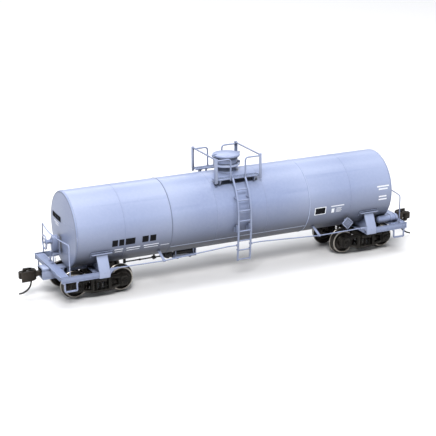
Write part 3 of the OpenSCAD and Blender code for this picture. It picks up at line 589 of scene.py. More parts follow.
def build_shaded_seams(bm):
    # Painted shade beside the main seam, on two fine seams and in the groove round each head.
    weld_ring(bm, -SEAM_X - 0.2, 0.26, SEAM_H + 0.04)
    for x in SHADED_SEAMS:
        weld_ring(bm, x, 0.14, 0.06)
    for s in (-1, 1):
        top, r = s * (TANK_END + 0.8), TANK_R - 0.55
        revolve(bm, [(r - 0.14, top - s * 0.1), (r + 0.14, top - s * 0.1), (r + 0.14, top + s * 0.03),
                     (r - 0.14, top + s * 0.07)], axis_x(0, 0, TANK_Z), 160)


add_piece("tank_shell", build_barrel, [SAME], ["tank_barrel"])
add_pair("tank_head_{}", build_head, "tank_end_{}")
add_piece("belly_plate", build_belly, [SAME], ["tank_belly_plate"])
add_piece("seams_highlight", build_seam_highlights, [SAME], material="seam_highlight_paint")
add_piece("seams_shaded", build_shaded_seams, [SAME], material="seam_shade_paint")


# ---- top gear

TOP = TANK_Z + TANK_R


neck_high = span_of("manway_neck")[1]
FLANGE_Z = neck_high.z - 4.2


def build_neck(bm):
    high, flange = neck_high, FLANGE_Z
    bore, lower, upper, wide = 3.5, 4.2, 4.7, 5.6
    revolve(bm, [(bore, TOP - 1), (lower + 0.5, TOP - 1), (lower + 0.2, TOP - 0.2), (lower, TOP + 0.25),
                 (lower, flange - 0.2), (lower + 0.15, flange), (wide - 0.1, flange), (wide, flange + 0.1),
                 (wide, flange + 0.36), (wide - 0.16, flange + 0.4), (wide - 0.16, flange + 0.5),
                 (wide, flange + 0.54), (wide, flange + 0.8), (wide - 0.1, flange + 0.9),
                 (upper + 0.25, flange + 0.9), (upper + 0.04, flange + 1.15), (upper, flange + 1.4),
                 (upper, high.z - 0.5), (upper + 0.18, high.z - 0.35), (upper + 0.18, high.z),
                 (bore, high.z)], at())
    block(bm, (upper - 0.3, -0.7, flange + 0.3), (wide + 0.9, 0.7, flange + 1.5), 0.12)
    drum(bm, 0.32, 1.9, axis_y(wide + 0.45, -0.95, flange + 1.0), 0.06, 20)
    for y in (-0.9, 0.35):
        block(bm, (-wide - 0.3, y, flange + 0.5), (-upper + 0.4, y + 0.55, high.z - 0.1), 0.1)
    for i in range(12):
        turn = spun(radians(15 + 30 * i), "Z")
        hexagon(bm, 0.26, 0.3, turn @ at((wide + upper) / 2 + 0.05, 0, flange + 0.88))


def build_neck_shade(bm):
    """Painted shade below the lid and round the flange, and painted shadow on the tank under the walkways."""
    for r, z0, z1 in ((4.9, neck_high.z - 1.1, neck_high.z - 0.02), (4.24, TOP + 0.2, FLANGE_Z - 0.02),
                      (4.76, FLANGE_Z + 1.0, FLANGE_Z + 1.5)):
        revolve(bm, [(r - 0.3, z0), (r, z0), (r, z1), (r - 0.3, z1)], at())
    low, high = span_of("walkway_far")
    a0, a1 = acos((high.y - 2.0) / TANK_R), acos((low.y + 0.3) / TANK_R)
    for start, end in ((a0, a1), (pi - a1, pi - a0)):
        curved_slab(bm, low.x + 0.5, high.x - 0.5, start, end, TANK_R - 0.05, TANK_R + 0.03, 2, 10)


def build_neck_highlight(bm):
    # Painted highlight round the edge of the manway flange.
    z = FLANGE_Z
    revolve(bm, [(5.2, z + 0.3), (5.63, z + 0.3), (5.63, z + 0.82), (5.5, z + 0.93), (5.2, z + 0.93)], at())


def build_lid(bm):
    low, high = span_of("manway_lid")
    r = (high.y - low.y) / 2
    base, rim = low.z, low.z + 1.0
    dome = [(r - 0.75, rim - 0.02), (r - 1.1, rim + 0.1)]
    dome += [((r - 1.1) * s, rim + 0.1 + (high.z - rim - 0.1) * (1 - s * s)) for s in steps(6 / 7, 0, 6)]
    revolve(bm, [(0, base), (r - 0.25, base), (r - 0.08, base + 0.06), (r, base + 0.2), (r, rim - 0.25),
                 (r - 0.1, rim - 0.08), (r - 0.25, rim)] + dome, at(), 120)
    block(bm, (low.x, -0.35, base + 0.05), (-r + 1.6, 0.35, rim + 0.3), 0.12)
    block(bm, (low.x + 0.1, -0.8, base + 0.1), (-r + 0.2, 0.8, base + 0.75), 0.1)
    drum(bm, 0.3, 2.4, axis_y(low.x + 0.45, -1.2, base + 0.5), 0.06, 20)
    block(bm, (r - 1.1, -0.45, rim - 0.35), (high.x - 0.05, 0.45, rim + 0.22), 0.12)
    drum(bm, 0.42, 0.55, at(high.x - 0.45, 0, rim - 0.35), 0.08, 20)


def build_walkway(bm):
    low, high = span_of("walkway_far")
    rim, bars, slats = 0.42, 7, 18
    for y in (low.y, high.y - rim):
        block(bm, (low.x, y, low.z), (high.x, y + rim, high.z), 0.06)
    for x in (low.x, high.x - rim):
        block(bm, (x, low.y + rim - 0.05, low.z), (x + rim, high.y - rim + 0.05, high.z), 0.06)
    block(bm, (low.x + 0.2, low.y + 0.2, low.z + 0.02), (high.x - 0.2, high.y - 0.2, low.z + 0.2), 0.03)
    for i in range(bars):
        y = low.y + rim + (high.y - low.y - 2 * rim) * (i + 0.5) / bars
        block(bm, (low.x + 0.3, y - 0.09, low.z + 0.1), (high.x - 0.3, y + 0.09, high.z - 0.03), 0.03)
    for i in range(slats):
        x = low.x + rim + (high.x - low.x - 2 * rim) * (i + 0.5) / slats
        block(bm, (x - 0.08, low.y + 0.3, low.z + 0.1), (x + 0.08, high.y - 0.3, high.z - 0.1), 0.03)


def tank_arc(y0, y1, count=8):
    """Points of the upper half of the tank's circle between two sideways places, as Y and height."""
    return [(y, sqrt(TANK_R ** 2 - y * y)) for y in steps(y0, y1, count)]


def build_walk_bracket(bm):
    high = span_of("walkway_brackets")[1]
    x = high.x - 0.7
    foot, out = 8.6, high.y
    base = [(y, TANK_Z + z - 0.05) for y, z in tank_arc(foot, out - 1.3)]
    plate(bm, [base + [(out, high.z - 0.8), (out, high.z), (foot, high.z)]], 0.5, in_yz(x + 0.1), 0.06)
    block(bm, (x - 0.3, foot - 0.2, high.z - 0.28), (x + 1.0, out + 0.05, high.z - 0.01), 0.05)


def build_guard_post(bm):
    low, high = span_of("guard_posts")
    x, y, w, t = high.x, high.y, 1.15, 0.35
    plate(bm, [[(x, y), (x - w, y), (x - w, y - t), (x - t, y - t), (x - t, y - w), (x, y - w)]],
          high.z - low.z, at(0, 0, low.z))
    for z in (low.z + 0.5, low.z + 1.4):
        hexagon(bm, 0.17, 0.14, axis_x(x - 0.01, y - 0.65, z))
    hexagon(bm, 0.17, 0.14, axis_y(x - 0.65, y - 0.01, low.z + 0.5))


WIRE_R = 0.26
GUARD_R = 0.36
LEG_X = 3.5


def build_side_rail(bm):
    low, high = span_of("guard_side_rails")
    y, z, foot = high.y - WIRE_R, high.z - WIRE_R, low.z
    wire(bm, [(high.x, y, z), (LEG_X, y, z), (LEG_X, y, foot - 0.35)], GUARD_R, 1.5)
    drum(bm, 0.45, 0.22, at(LEG_X, y, foot - 0.02), 0.06, 20)
    drum(bm, 0.40, 0.55, at(LEG_X, y, foot - 1.05), 0.1, 20)


def build_end_guard(bm):
    low, high = span_of("guard_end_rails")
    x, z = high.x - WIRE_R, high.z - WIRE_R
    wire(bm, [(x, low.y, z), (x, high.y, z)], GUARD_R)
    for y in (low.y + 0.1, high.y - 0.35):
        drum(bm, 0.4, 0.25, axis_y(x, y, z), 0.06, 20)


add_piece("manway_neck_detail", build_neck, [SAME], ["manway_neck", "manway_bolts"])
add_piece("manway_neck_shade", build_neck_shade, [SAME], material="top_shade_paint")
add_piece("manway_neck_highlight", build_neck_highlight, [SAME], material="seam_highlight_paint")
add_piece("manway_lid_detail", build_lid, [SAME], ["manway_lid"])
add_pair("walkway_{}_grating", build_walkway, "walkway_{}", "walk_paint", places=FLANKS)
add_piece("walkway_brackets_detail", build_walk_bracket, CORNERS, ["walkway_brackets"])
add_piece("guard_posts_detail", build_guard_post, CORNERS, ["guard_posts"])
add_piece("guard_side_rails_detail", build_side_rail, CORNERS, ["guard_side_rails"])
add_piece("guard_end_rails_detail", build_end_guard, ENDS, ["guard_end_rails"], "rail_shade_paint")


# ---- ladders and handrails

LADDER_X = 2.95
KINK_Z = 21.5
ARC_Z = 28.0
ARC_R = 25.0
RUNGS = (8.4, 12.75, 17.1, 21.5, 26, 30.5, 35, 39.4)


def ladder_line(z, bottom, out):
    """Sideways place of the ladder's centre line at height z."""
    if z < KINK_Z:
        return 17.0 + (out - 17.0) * (z - bottom) / (KINK_Z - bottom)
    if z < ARC_Z:
        return out
    return out - ARC_R + sqrt(ARC_R ** 2 - (z - ARC_Z) ** 2)


def build_ladder(bm):
    low, high = span_of("ladder_far")
    bottom, top, out = low.z, high.z, high.y - 0.4
    heights = [bottom, 14.0, KINK_Z, 25.0] + steps(ARC_Z, top, 14)
    for s in (-LADDER_X, LADDER_X):
        sweep(bm, [(s, ladder_line(z, bottom, out), z) for z in heights], bar_section(0.8, 0.7, 0.12),
              up=(1, 0, 0))
    for z in RUNGS:
        y = ladder_line(z, bottom, out)
        drum(bm, 0.3, 2 * LADDER_X, axis_x(-LADDER_X, y, z), 0.05, 20)
        for s in (-LADDER_X + 0.35, LADDER_X - 0.5):
            drum(bm, 0.38, 0.15, axis_x(s, y, z), 0.04, 20)
    for s in (-LADDER_X, LADDER_X):
        for z in (13.1, 15.2):
            y = ladder_line(z, bottom, out)
            block(bm, (s - 0.5, y - 0.7, z - 0.25), (s + 0.5, y - 0.1, z + 0.25), 0.06)


def build_standoffs(bm):
    low_z, high_z, tall = 22.3, 35.7, 1.6
    root, root_high = (sqrt(TANK_R ** 2 - (z - TANK_Z) ** 2) - 0.3 for z in (low_z, high_z))
    for s in (-LADDER_X, LADDER_X):
        block(bm, (s - 0.28, root, low_z - tall), (s + 0.28, 17.8, low_z + tall), 0.1)
        block(bm, (s - 0.3, root_high, high_z - 0.3), (s + 0.3, 16.5, high_z + 0.3), 0.08)
    for s in (-LADDER_X, LADDER_X):
        block(bm, (s - 0.9, root, low_z - tall), (s + 0.9, root + 0.5, low_z + tall), 0.08)


HAND_MID_X = 37.4


def build_handrail(bm):
    high = span_of("handrail_far")[1]
    y = high.y - 0.3 - WIRE_R
    inner = LADDER_X + 0.35
    sloped = [(high.x, y, 13.75), (HAND_MID_X, y, 13.5), (8, y + 0.1, 15.2), (inner, y + 0.3, 15.2)]
    wire(bm, sloped, WIRE_R, 14)
    drum(bm, 0.42, 0.3, axis_x(high.x - 0.35, y, 13.75), 0.06, 20)
    block(bm, (inner - 0.05, y - 0.15, 14.75), (inner + 0.45, y + 0.72, 15.65), 0.08)


def build_stanchion(bm):
    angle, root = radians(47), TANK_R - 0.2
    y, z = root * cos(angle), TANK_Z - root * sin(angle)
    end_y, end_z = span_of("handrail_stanchions")[1].y - 0.5, 13.5
    sweep(bm, [(HAND_MID_X, y, z), (HAND_MID_X, end_y, end_z)], bar_section(0.42, 1.15, 0.1), up=(1, 0, 0))
    drum(bm, 0.5, 1.0, axis_x(HAND_MID_X - 0.5, end_y, end_z), 0.1, 24)
    foot = at(HAND_MID_X, y, z) @ spun(angle + pi / 2, "X")
    block(bm, (-0.8, -0.6, -0.15), (0.8, 0.6, 0.35), 0.1, foot)


def build_end_rail(bm):
    low, high = span_of("end_rail_a")
    x0, bow = low.x + WIRE_R + 0.03, high.x - low.x - 2 * WIRE_R - 0.03
    y, z = 17.2, 26.4
    top = [(x0 + bow * (1 - s * s), -y * s * 0.95, z) for s in steps(1, -1, 24)]
    leg = [(x0, -y, low.z), (x0, -y, z - 0.9), (x0 + 0.03, -y + 0.28, z - 0.27)]
    sweep(bm, leg + top + [(px, -py, pz) for px, py, pz in reversed(leg)], circle(WIRE_R, 14), up=(1, 0, 0))
    for s in (-y, y):
        drum(bm, 0.46, 0.3, at(x0, s, low.z - 0.02), 0.06, 20)


def build_stirrup(bm):
    low, high = span_of("stirrup_steps")
    x0, x1, y = 76.0, 81.8, high.y - 0.4
    path = [(x0 - 0.35, y, high.z - 0.25), (x0 + 0.28, y, high.z - 0.3), (x0 + 0.28, y, low.z + 0.28),
            (x1 - 0.28, y, low.z + 0.28), (x1 - 0.28, y, high.z - 0.3), (x1 + 0.35, y, high.z - 0.25)]
    sweep(bm, fillet(path, 0.45, 4), bar_section(0.55, 0.8, 0.1), up=(0, 1, 0))
    block(bm, (x0 + 0.5, y - 0.5, low.z + 0.4), (x1 - 0.5, y + 0.38, low.z + 0.62), 0.05)


for side, matrix in FLANKS.items():
    add_piece(f"ladder_{side}_detail", build_ladder, [matrix], [f"ladder_{side}"])
    add_piece(f"handrail_{side}_wire", build_handrail, [matrix, MIRROR_X @ matrix], [f"handrail_{side}"])
add_piece("ladder_brackets", build_standoffs, SIDES, ["ladder_standoffs"])
add_piece("stanchions", build_stanchion, CORNERS, ["handrail_stanchions"])
add_piece("stirrups", build_stirrup, CORNERS, ["stirrup_steps"])
add_piece("end_rail_a_wire", build_end_rail, [SAME], ["end_rail_a"], "rail_shade_paint")
add_piece("end_rail_b_wire", build_end_rail, [HALF_TURN], ["end_rail_b"])


# ---- underframe

KING_X = 64.2
PIVOT_X = 79.2
HOLE_IN, HOLE_OUT = 6.5, 16.0
DECK_DEPTHS = {"a": 7.3, "b": 3.9}


def build_platform(bm, strip):
    """Deck plate of a given depth with its treads, end beam and side sills."""
    low, high = span_of("end_platform_a")
    deck_z, out, half = high.z - 0.3, high.x, high.y
    inner, side = out - strip, half - 0.4
    plate(bm, [[(inner, -side), (out, -side), (out, side), (inner, side)]], 0.9, at(0, 0, deck_z - 0.9), 0.08)
    rows, columns = 26, 5 if strip > 5 else 3
    for i in range(rows):
        for k in range(columns):
            x = inner + 0.9 + (out - inner - 1.8) * k / (columns - 1)
            y = (half - 2.0) * (2 * i / (rows - 1) - 1)
            lean = spun(radians(40 if (i + k) % 2 else -40), "Z")
            block(bm, (-0.34, -0.07, -0.05), (0.34, 0.07, 0.07), 0.03, at(x, y, deck_z) @ lean)
    block(bm, (out - 0.35, -half + 0.1, deck_z - 0.3), (out, half - 0.1, deck_z + 0.22))
    for s in (-1, 1):
        block(bm, (low.x, s * (half - 0.68), low.z), (out, s * (half - 0.12), high.z), 0.08)
        for z in (low.z, high.z - 0.34):
            block(bm, (low.x, s * (half - 0.8), z), (out, s * half, z + 0.34))
        block(bm, (out - 0.8, s * 3.3, low.z + 0.5), (out - 0.25, s * half, deck_z - 0.4))
        near, far = sorted((s * HOLE_IN, s * HOLE_OUT))
        for z in (low.z + 0.5, deck_z - 1.1):
            block(bm, (out - 0.5, near, z), (out, far, z + 0.38))
        for y in (near, far - 0.4):
            block(bm, (out - 0.5, y, low.z + 0.5), (out, y + 0.4, deck_z - 0.75))
        for x in (low.x + 2.5, low.x + 6.2, out - 2.2):
            hexagon(bm, 0.2, 0.14, axis_y(x, s * (half - 0.13), low.z + 1.3, s))


def build_bolster(bm):
    low, high = span_of("bolster_a")
    x, half, bottom, w, flare = KING_X, high.y, 10.3, 2.4, 3.2
    for s in (1, -1):
        path = [(x, s * (half - 0.32), bottom), (x, s * (half - 0.32), 13.1), (x, s * 14.2, 20.0)]
        sweep(bm, path, bar_section(0.64, 2 * w, 0.1), up=(1, 0, 0))
        a0, a1 = sorted((s * radians(55) - pi / 2, s * radians(64) - pi / 2))
        for edge, trim, lift in ((4.75, 0, 0.42), (4.45, 0.02, 0.5)):
            curved_slab(bm, x - edge, x + edge, a0 + trim, a1 - trim, TANK_R - 0.1, TANK_R + lift, 2, 8)
        ledge = [(x - 4.75, s * 14.0), (x + 4.75, s * 14.0), (x + 4.3, s * 15.7), (x - 4.3, s * 15.7)]
        outline = [(s * y, TANK_Z - z + 0.05) for y, z in tank_arc(2.0, 14.2, 12)]
        outline += [(s * 17.3, 13.0), (s * 17.3, bottom + 0.1), (s * 2.0, bottom + 0.1)]
        plate(bm, [ledge[::s]], 0.4, at(0, 0, 19.8))
        plate(bm, [outline[::s]], 1.0, in_yz(x - 0.5), 0.06)
        block(bm, (x - w, s * 2, bottom), (x + w, s * 17.3, bottom + 0.55))
        inner, tip = x - w + 0.1, x - w - flare
        gusset = [(inner, 14.1), (tip - 0.6, 14.1), (tip, 13.3)]
        gusset += [(tip + flare * sin(t), 13.3 - 2.9 * (1 - cos(t))) for t in steps(0, pi / 2, 8)[1:]]
        plate(bm, [gusset + [(inner, 10.4)]], 0.5, in_xz(s * (half - 0.35) - 0.25))
        for z in (11.1, 12.4):
            hexagon(bm, 0.22, 0.16, axis_y(x, s * (half - 0.17), z, s))
    block(bm, (x - w, -2.1, bottom), (x + w, 2.1, TANK_Z - TANK_R + 0.1))
    drum(bm, 3.4, bottom - low.z, at(x, 0, low.z))


def build_sill(bm):
    low, high = span_of("draft_sill_a")
    half, out = high.y, high.x
    deck_edge, _, deck_top = span_of("end_platform_a")[1]
    underside = deck_top - 1.2
    block(bm, (low.x, -half, 10.3), (TANK_END + 1.0, half, TANK_Z - TANK_R + 0.1), 0.08)
    wall = 0.65
    for s in (-half, half - wall):
        block(bm, (TANK_END - 0.4, s, low.z), (out, s + wall, underside), 0.08)
    block(bm, (TANK_END - 0.4, -half, 11.6), (out, half, underside), 0.08)
    block(bm, (deck_edge + 0.05, -half, 11.6), (out, half, high.z), 0.12)
    block(bm, (out - 0.5, -half - 0.25, high.z - 1.1), (out, half + 0.25, high.z), 0.1)
    block(bm, (TANK_END - 0.4, -half, low.z), (77.0, half, 11.9), 0.08)
    drum(bm, 1.2, 3.2, at(PIVOT_X, 0, low.z), 0.06, 32)
    for s in (-1, 1):
        for x in (deck_edge + 1.0, deck_edge + 2.4):
            hexagon(bm, 0.2, 0.14, axis_y(x, s * (half - 0.02), 10.6, s))


def build_box_lid(bm):
    low, high = span_of("coupler_box_lids")
    block(bm, (TANK_END, low.y, low.z), high, 0.1)
    block(bm, (TANK_END + 0.6, low.y + 0.8, low.z - 0.12), (high.x - 0.8, high.y - 0.8, low.z + 0.1), 0.06)


def cross_slot(bm, x, z, reach, half, low, high, edge):
    """The two raised bars that mark a cross-head screw."""
    for turn in (0, pi / 2):
        block(bm, (-reach, -half, low), (reach, half, high), edge, at(x, 0, z) @ spun(turn, "Z"))


def build_box_screw(bm):
    r, base = 1.1, span_of("coupler_box_screws")[0].z - 0.14
    profile = [(0, 0), (0.5, 0.02), (r - 0.25, 0.12), (r, 0.35), (r, 0.6), (0.6, 0.62), (0.6, 3.2), (0, 3.3)]
    revolve(bm, profile, at(PIVOT_X, 0, base), 32)
    cross_slot(bm, PIVOT_X, base, 0.65, 0.09, -0.1, 0.08, 0.02)


for end, matrix in TURNS.items():
    depth = DECK_DEPTHS[end]
    add_piece(f"platform_{end}_detail", lambda bm: build_platform(bm, depth), [matrix],
              [f"end_platform_{end}"], "walk_paint")
    add_piece(f"bolster_{end}_detail", build_bolster, [matrix], [f"bolster_{end}"])
    add_piece(f"draft_sill_{end}_detail", build_sill, [matrix], [f"draft_sill_{end}"])
add_piece("coupler_box_lids_detail", build_box_lid, ENDS, ["coupler_box_lids"])
add_piece("coupler_box_screws_detail", build_box_screw, ENDS, ["coupler_box_screws"], "screw_steel")


# ---- brake gear and other fittings

def build_brake_stand(bm):
    low, high = span_of("brake_stand")
    y0, y1, x0, leg, arm = low.y + 0.2, high.y, high.x - 0.6, low.x + 0.5, 16.6
    sheet, window = ([(ya, za), (yb, za), (yb, zb), (ya, zb)] for ya, yb, za, zb in (
        (y0, y1, arm, high.z), (y0 + 0.7, y1 - 0.7, arm + 1.6, high.z - 0.8)))
    plate(bm, [sheet, window], 0.5, in_yz(x0 + 0.05), 0.08)
    for y in (y0 + 0.3, y1 - 0.3):
        path = [(leg + 0.3, y, low.z), (leg + 0.3, y, arm + 0.25), (x0 + 0.2, y, arm + 0.25)]
        sweep(bm, fillet(path, 0.5, 4), bar_section(0.5, 0.5, 0.08), up=(0, 1, 0))
        block(bm, (low.x, y - 0.5, low.z), (leg + 0.6, y + 0.5, low.z + 0.4), 0.08)
        hexagon(bm, 0.18, 0.16, at(low.x + 0.25, y, low.z + 0.36))


def build_brake_housing(bm):
    low, high = span_of("brake_housing")
    y, front, back = (low.y + high.y) / 2 - 0.2, -79.6, high.x
    z0, z1, shaft = 17.4, high.z, 22.2
    body = [(y - 1.3, z0 + 1), (y - 0.6, z0), (y + 0.9, z0), (y + 1.6, z0 + 1.2), (y + 1.75, z1 - 2.4),
            (y + 1.3, z1 - 0.7), (y + 0.6, z1 - 0.05), (y - 0.5, z1 - 0.05), (y - 1.3, z1 - 0.8),
            (y - 1.5, z1 - 2.2)]
    plate(bm, [body], back - front, in_yz(front), 0.3)
    rib = [(y + (py - y) * 0.72, z0 + 3.6 + (pz - z0 - 3.6) * 0.72) for py, pz in body]
    plate(bm, [rib], 0.35, in_yz(front - 0.22), 0.1)
    drum(bm, 0.9, 2.5, axis_x(low.x, y + 0.02, shaft), 0.15, 32)
    drum(bm, 1.25, 0.8, axis_x(front - 0.5, y + 0.02, shaft), 0.2, 32)
    drum(bm, 0.7, back - front + 0.2, axis_x(front - 0.12, y + 0.1, z0 + 1.6), 0.15, 24)
    drum(bm, 0.85, 0.7, at(front + 1.2, y, z1 - 0.7), 0.2, 24)
    loop = [(0.22 * cos(t), 0, 0.36 * sin(t)) for t in steps(0, 2 * pi, 10)]
    for k in range(9):
        link = at(front + 1.2, y, low.z + 0.4 + 0.56 * k) @ spun(k * pi / 2, "Z")
        sweep(bm, [link @ Vector(p) for p in loop], circle(0.09, 6), up=(0, 0.01, 1))
    for dy, dz in ((-1.0, 1.2), (1.1, 1.5), (-0.9, 5.6), (1.0, 5.8)):
        hexagon(bm, 0.2, 0.18, axis_x(front + 0.02, y + dy, z0 + dz) @ spun(pi, "X"))


def build_brake_wheel(bm):
    low, high = span_of("brake_wheel")
    radius = (high.z - low.z) / 2
    centre = axis_x(low.x + 0.3, (low.y + high.y) / 2, (low.z + high.z) / 2)
    revolve(bm, [(radius - 0.3 + 0.3 * cos(t), 0.26 * sin(t)) for t in steps(0, 2 * pi, 14)[:-1]], centre)
    revolve(bm, [(0, -0.12), (0.4, -0.1), (0.62, 0.0), (0.7, 0.2), (0.7, 0.7), (0, 0.7)], centre, 32)
    hexagon(bm, 0.3, 0.28, centre @ spun(pi, "X") @ at(0, 0, 0.05))
    for i in range(6):
        turn = centre @ spun(pi * i / 3, "Z")
        points = [(0.45, 0, 0.45), (1.1, 0.1, 0.5), (1.9, 0.14, 0.35), (radius - 0.3, 0.0, 0.0)]
        sweep(bm, [turn @ Vector(p) for p in fillet(points, 1.0)], bar_section(0.36, 0.24, 0.06))


def build_reservoir(bm):
    low, high = span_of("air_reservoir")
    radius, length = (high.z - low.z) / 2, high.x - low.x
    centre = axis_x(low.x, (low.y + high.y) / 2, (low.z + high.z) / 2)
    half = [(radius * sin(t), 0.8 - 0.8 * cos(t)) for t in steps(0, pi / 2, 8)]
    half += [(radius, 1.1), (radius + 0.05, 1.16), (radius + 0.05, 1.34), (radius, 1.4),
             (radius, length / 2 - 0.1), (radius + 0.05, length / 2 - 0.05)]
    revolve(bm, mirrored(half, length), centre, 64)
    drum(bm, 0.35, 0.35, centre @ at(0, 0, length - 0.15), 0.08, 16)


def build_straps(bm):
    low, high = span_of("reservoir_straps")
    tank_low, tank_high = span_of("air_reservoir")
    y, z = (tank_low.y + tank_high.y) / 2, (tank_low.z + tank_high.z) / 2
    reach, foot = (tank_high.z - tank_low.z) / 2 + 0.14, low.z + 0.15
    start = asin(max(-1, (foot - z) / reach))
    for x in (low.x + 0.35, high.x - 0.35):
        over = [(x, y + reach * cos(t), z + reach * sin(t)) for t in steps(start, pi - start, 28)]
        sweep(bm, [(x, high.y, foot)] + over + [(x, low.y, foot)], bar_section(0.2, 0.7, 0.05), up=(1, 0, 0))
        for side in (high.y - 0.25, low.y + 0.25):
            hexagon(bm, 0.17, 0.16, at(x, side, low.z + 0.22))


def build_placard(bm):
    x, y, z, h = 52.7, 15.3, 16.6, 2.05
    face = at(x, -y, z) @ spun(pi / 2, "X") @ spun(pi / 4, "Z")
    block(bm, (-h + 0.1, -h + 0.1, 0), (h - 0.1, h - 0.1, 0.2), 0.05, face)
    for turn in range(4):
        block(bm, (-h, -h, 0.0), (h, -h + 0.42, 0.64), 0.06, face @ spun(pi / 2 * turn, "Z"))
    for rib in steps(0.9 - h, 3.22 - h, 4):
        block(bm, (-h + 0.6, rib - 0.13, 0.1), (h - 0.6, rib + 0.13, 0.5), 0.05, face)
    # The arm stops 2.1 mm short of the plate.
    arm_start, arm_end = 1.17, 13.2
    sweep(bm, [(x, -arm_start, z), (x, -arm_end, z + 1.1)], bar_section(0.7, 0.5, 0.1), up=(1, 0, 0))


def build_tray(bm):
    low, high = span_of("brake_tray")
    block(bm, (low.x, low.y + 0.2, 8), (high.x, high.y - 0.2, 8.6), 0.1)
    for s in (-1, 1):
        block(bm, (low.x, s * 1.95, 8), (high.x, s * 2.4, 9.2), 0.08)
        for x in (low.x + 1.0, high.x - 1.5):
            block(bm, (x, s * 1.95, 9.0), (x + 0.6, s * 2.4, 12.6), 0.06)
    block(bm, (high.x - 0.45, low.y, 8), (high.x, high.y, high.z), 0.08)
    for x in (low.x + 2.5, high.x - 2.5):
        hexagon(bm, 0.5, 0.62, at(x, -1.2, low.z))


def build_cylinder(bm):
    low, high = span_of("brake_cylinder")
    z, y = (low.z + high.z) / 2, -1.2
    for x0, x1, r in ((low.x, low.x + 1.6, 0.33), (low.x + 1.2, low.x + 1.9, 1.2),
                      (low.x + 1.7, high.x - 0.5, 1.08), (high.x - 0.8, high.x, 1.16)):
        drum(bm, r, x1 - x0, axis_x(x0, y, z), 0.12, 40)
    for i in range(6):
        turn = spun(pi * i / 3, "Z")
        hexagon(bm, 0.14, 0.16, axis_x(high.x - 0.03, y, z) @ turn @ at(0.8, 0, 0))
    for x in (low.x + 3.6, low.x + 5.6, low.x + 7.4):
        drum(bm, 1.14, 0.3, axis_x(x, y, z), 0.1, 40)


def build_valve(bm):
    low, high = span_of("control_valve")
    block(bm, (low.x + 0.7, -1.9, 8.7), (high.x, 1.9, high.z), 0.2)
    for y in (-1.1, 1.1):
        drum(bm, 0.75, 0.5, at(low.x + 2.3, y, 8.35), 0.12, 24)
    drum(bm, 1.0, 0.8, axis_x(low.x, 0, 10.2), 0.15, 32)
    drum(bm, 1.0, 0.7, axis_y(high.x - 1.6, 1.85, 10.2), 0.15, 32)
    drum(bm, 0.8, 0.5, axis_y(high.x - 1.6, -2.3, 10.2), 0.15, 32)
    block(bm, (low.x + 0.5, -1.4, 9.4), (low.x + 0.8, 1.4, 9.8), 0.06)
    for y in (-1.5, 1.5):
        for z in (9.2, 11.0):
            hexagon(bm, 0.18, 0.16, at(low.x + 0.72, y, z) @ spun(-pi / 2, "Y"))


def build_rod(bm):
    low, high = span_of("brake_rod")
    z, lever = 9.3, -35.0
    wire(bm, [(low.x + 0.5, 0, z), (high.x, 0, z)], 0.3)
    plate(bm, [[(lever - 0.55, 8.4), (lever + 0.45, 8.4), (lever + 0.3, 10.8), (lever + 0.25, high.z),
                (lever - 0.25, high.z), (lever - 0.3, 10.8)]], 0.7, in_xz(-0.35), 0.12)
    for y in (-0.75, 0.3):
        block(bm, (lever - 0.9, y, z - 0.5), (lever + 0.9, y + 0.45, z + 0.5), 0.12)
    drum(bm, 0.3, 1.9, axis_y(lever, -0.95, z), 0.08, 20)
    block(bm, (low.x, -0.5, z - 0.6), (low.x + 1.0, 0.5, high.z), 0.12)
    for x in (-42.0, -32.4):
        drum(bm, 0.42, 0.8, axis_x(x, 0, z), 0.1, 20)


for node, build in (("brake_stand", build_brake_stand), ("brake_housing", build_brake_housing),
                    ("brake_wheel", build_brake_wheel), ("air_reservoir", build_reservoir),
                    ("reservoir_straps", build_straps)):
    add_piece(f"{node}_detail", build, [SAME], [node])
add_piece("placards", build_placard, [SAME, HALF_TURN], ["placard_holders"])
add_piece("brake_tray_detail", build_tray, [SAME], ["brake_tray"])
for node, build in (("brake_cylinder", build_cylinder), ("control_valve", build_valve),
                    ("brake_rod", build_rod)):
    add_piece(f"{node}_detail", build, [SAME], [node], "underframe_black")


# ---- markings: plain panels and bars

INK = 0.03


def side_patch(bm, x0, x1, z0, z1, lift=INK):
    """A thin patch on the near side of the tank, between two heights below or above its axis."""
    a0, a1 = (pi - asin((z - TANK_Z) / TANK_R) for z in (z1, z0))
    curved_slab(bm, x0, x1, a0, a1, TANK_R - 0.05, TANK_R + lift, 2, 6)


def build_black_marks(bm):
    for x0, x1 in ((-59.8, -57.3), (-56.7, -54.5), (-53.9, -49.6), (-46.4, -43.6), (-42.9, -40.2)):
        side_patch(bm, x0, x1, 22.4, 25.3)
    side_patch(bm, 36.0, 40.9, 22.85, 25.75, 0.045)


def build_white_marks(bm):
    side_patch(bm, 35.6, 41.3, 22.5, 26.1)
    for x0, x1 in ((-58.5, -54.6), (-53.2, -47.0), (-45.4, -38.6)):
        side_patch(bm, x0, x1, 20.45, 20.8)
        side_patch(bm, x0 + 0.3, x1 - 0.2, 19.35, 19.6)
    side_patch(bm, -37.6, -33.6, 19.4, 19.6)
    side_patch(bm, 43.8, 50.4, 25.5, 25.95)
    for k, z in enumerate((24.6, 24.0, 23.4, 22.8)):
        side_patch(bm, 46.6, 49.4 - 0.4 * (k % 2), z - 0.1, z + 0.1)
    side_patch(bm, 44.2, 45.6, 22.6, 24.6)
    for x0, x1, z in ((67.6, 73.8, 31.6), (68.3, 73.0, 30.4), (68.4, 72.4, 27.0), (68.4, 72.6, 25.6)):
        side_patch(bm, x0, x1, z - 0.32, z + 0.32)


def head_patch(bm, y0, y1, z0, z1, lift=INK):
    """A thin patch on the B-end head."""
    grid_slab(bm, *([ring(bm, [(-head_x(y, z) - rise, y, z) for y in steps(y0, y1, 8)])
                     for z in steps(z0, z1, 2)] for rise in (lift, -0.05)))


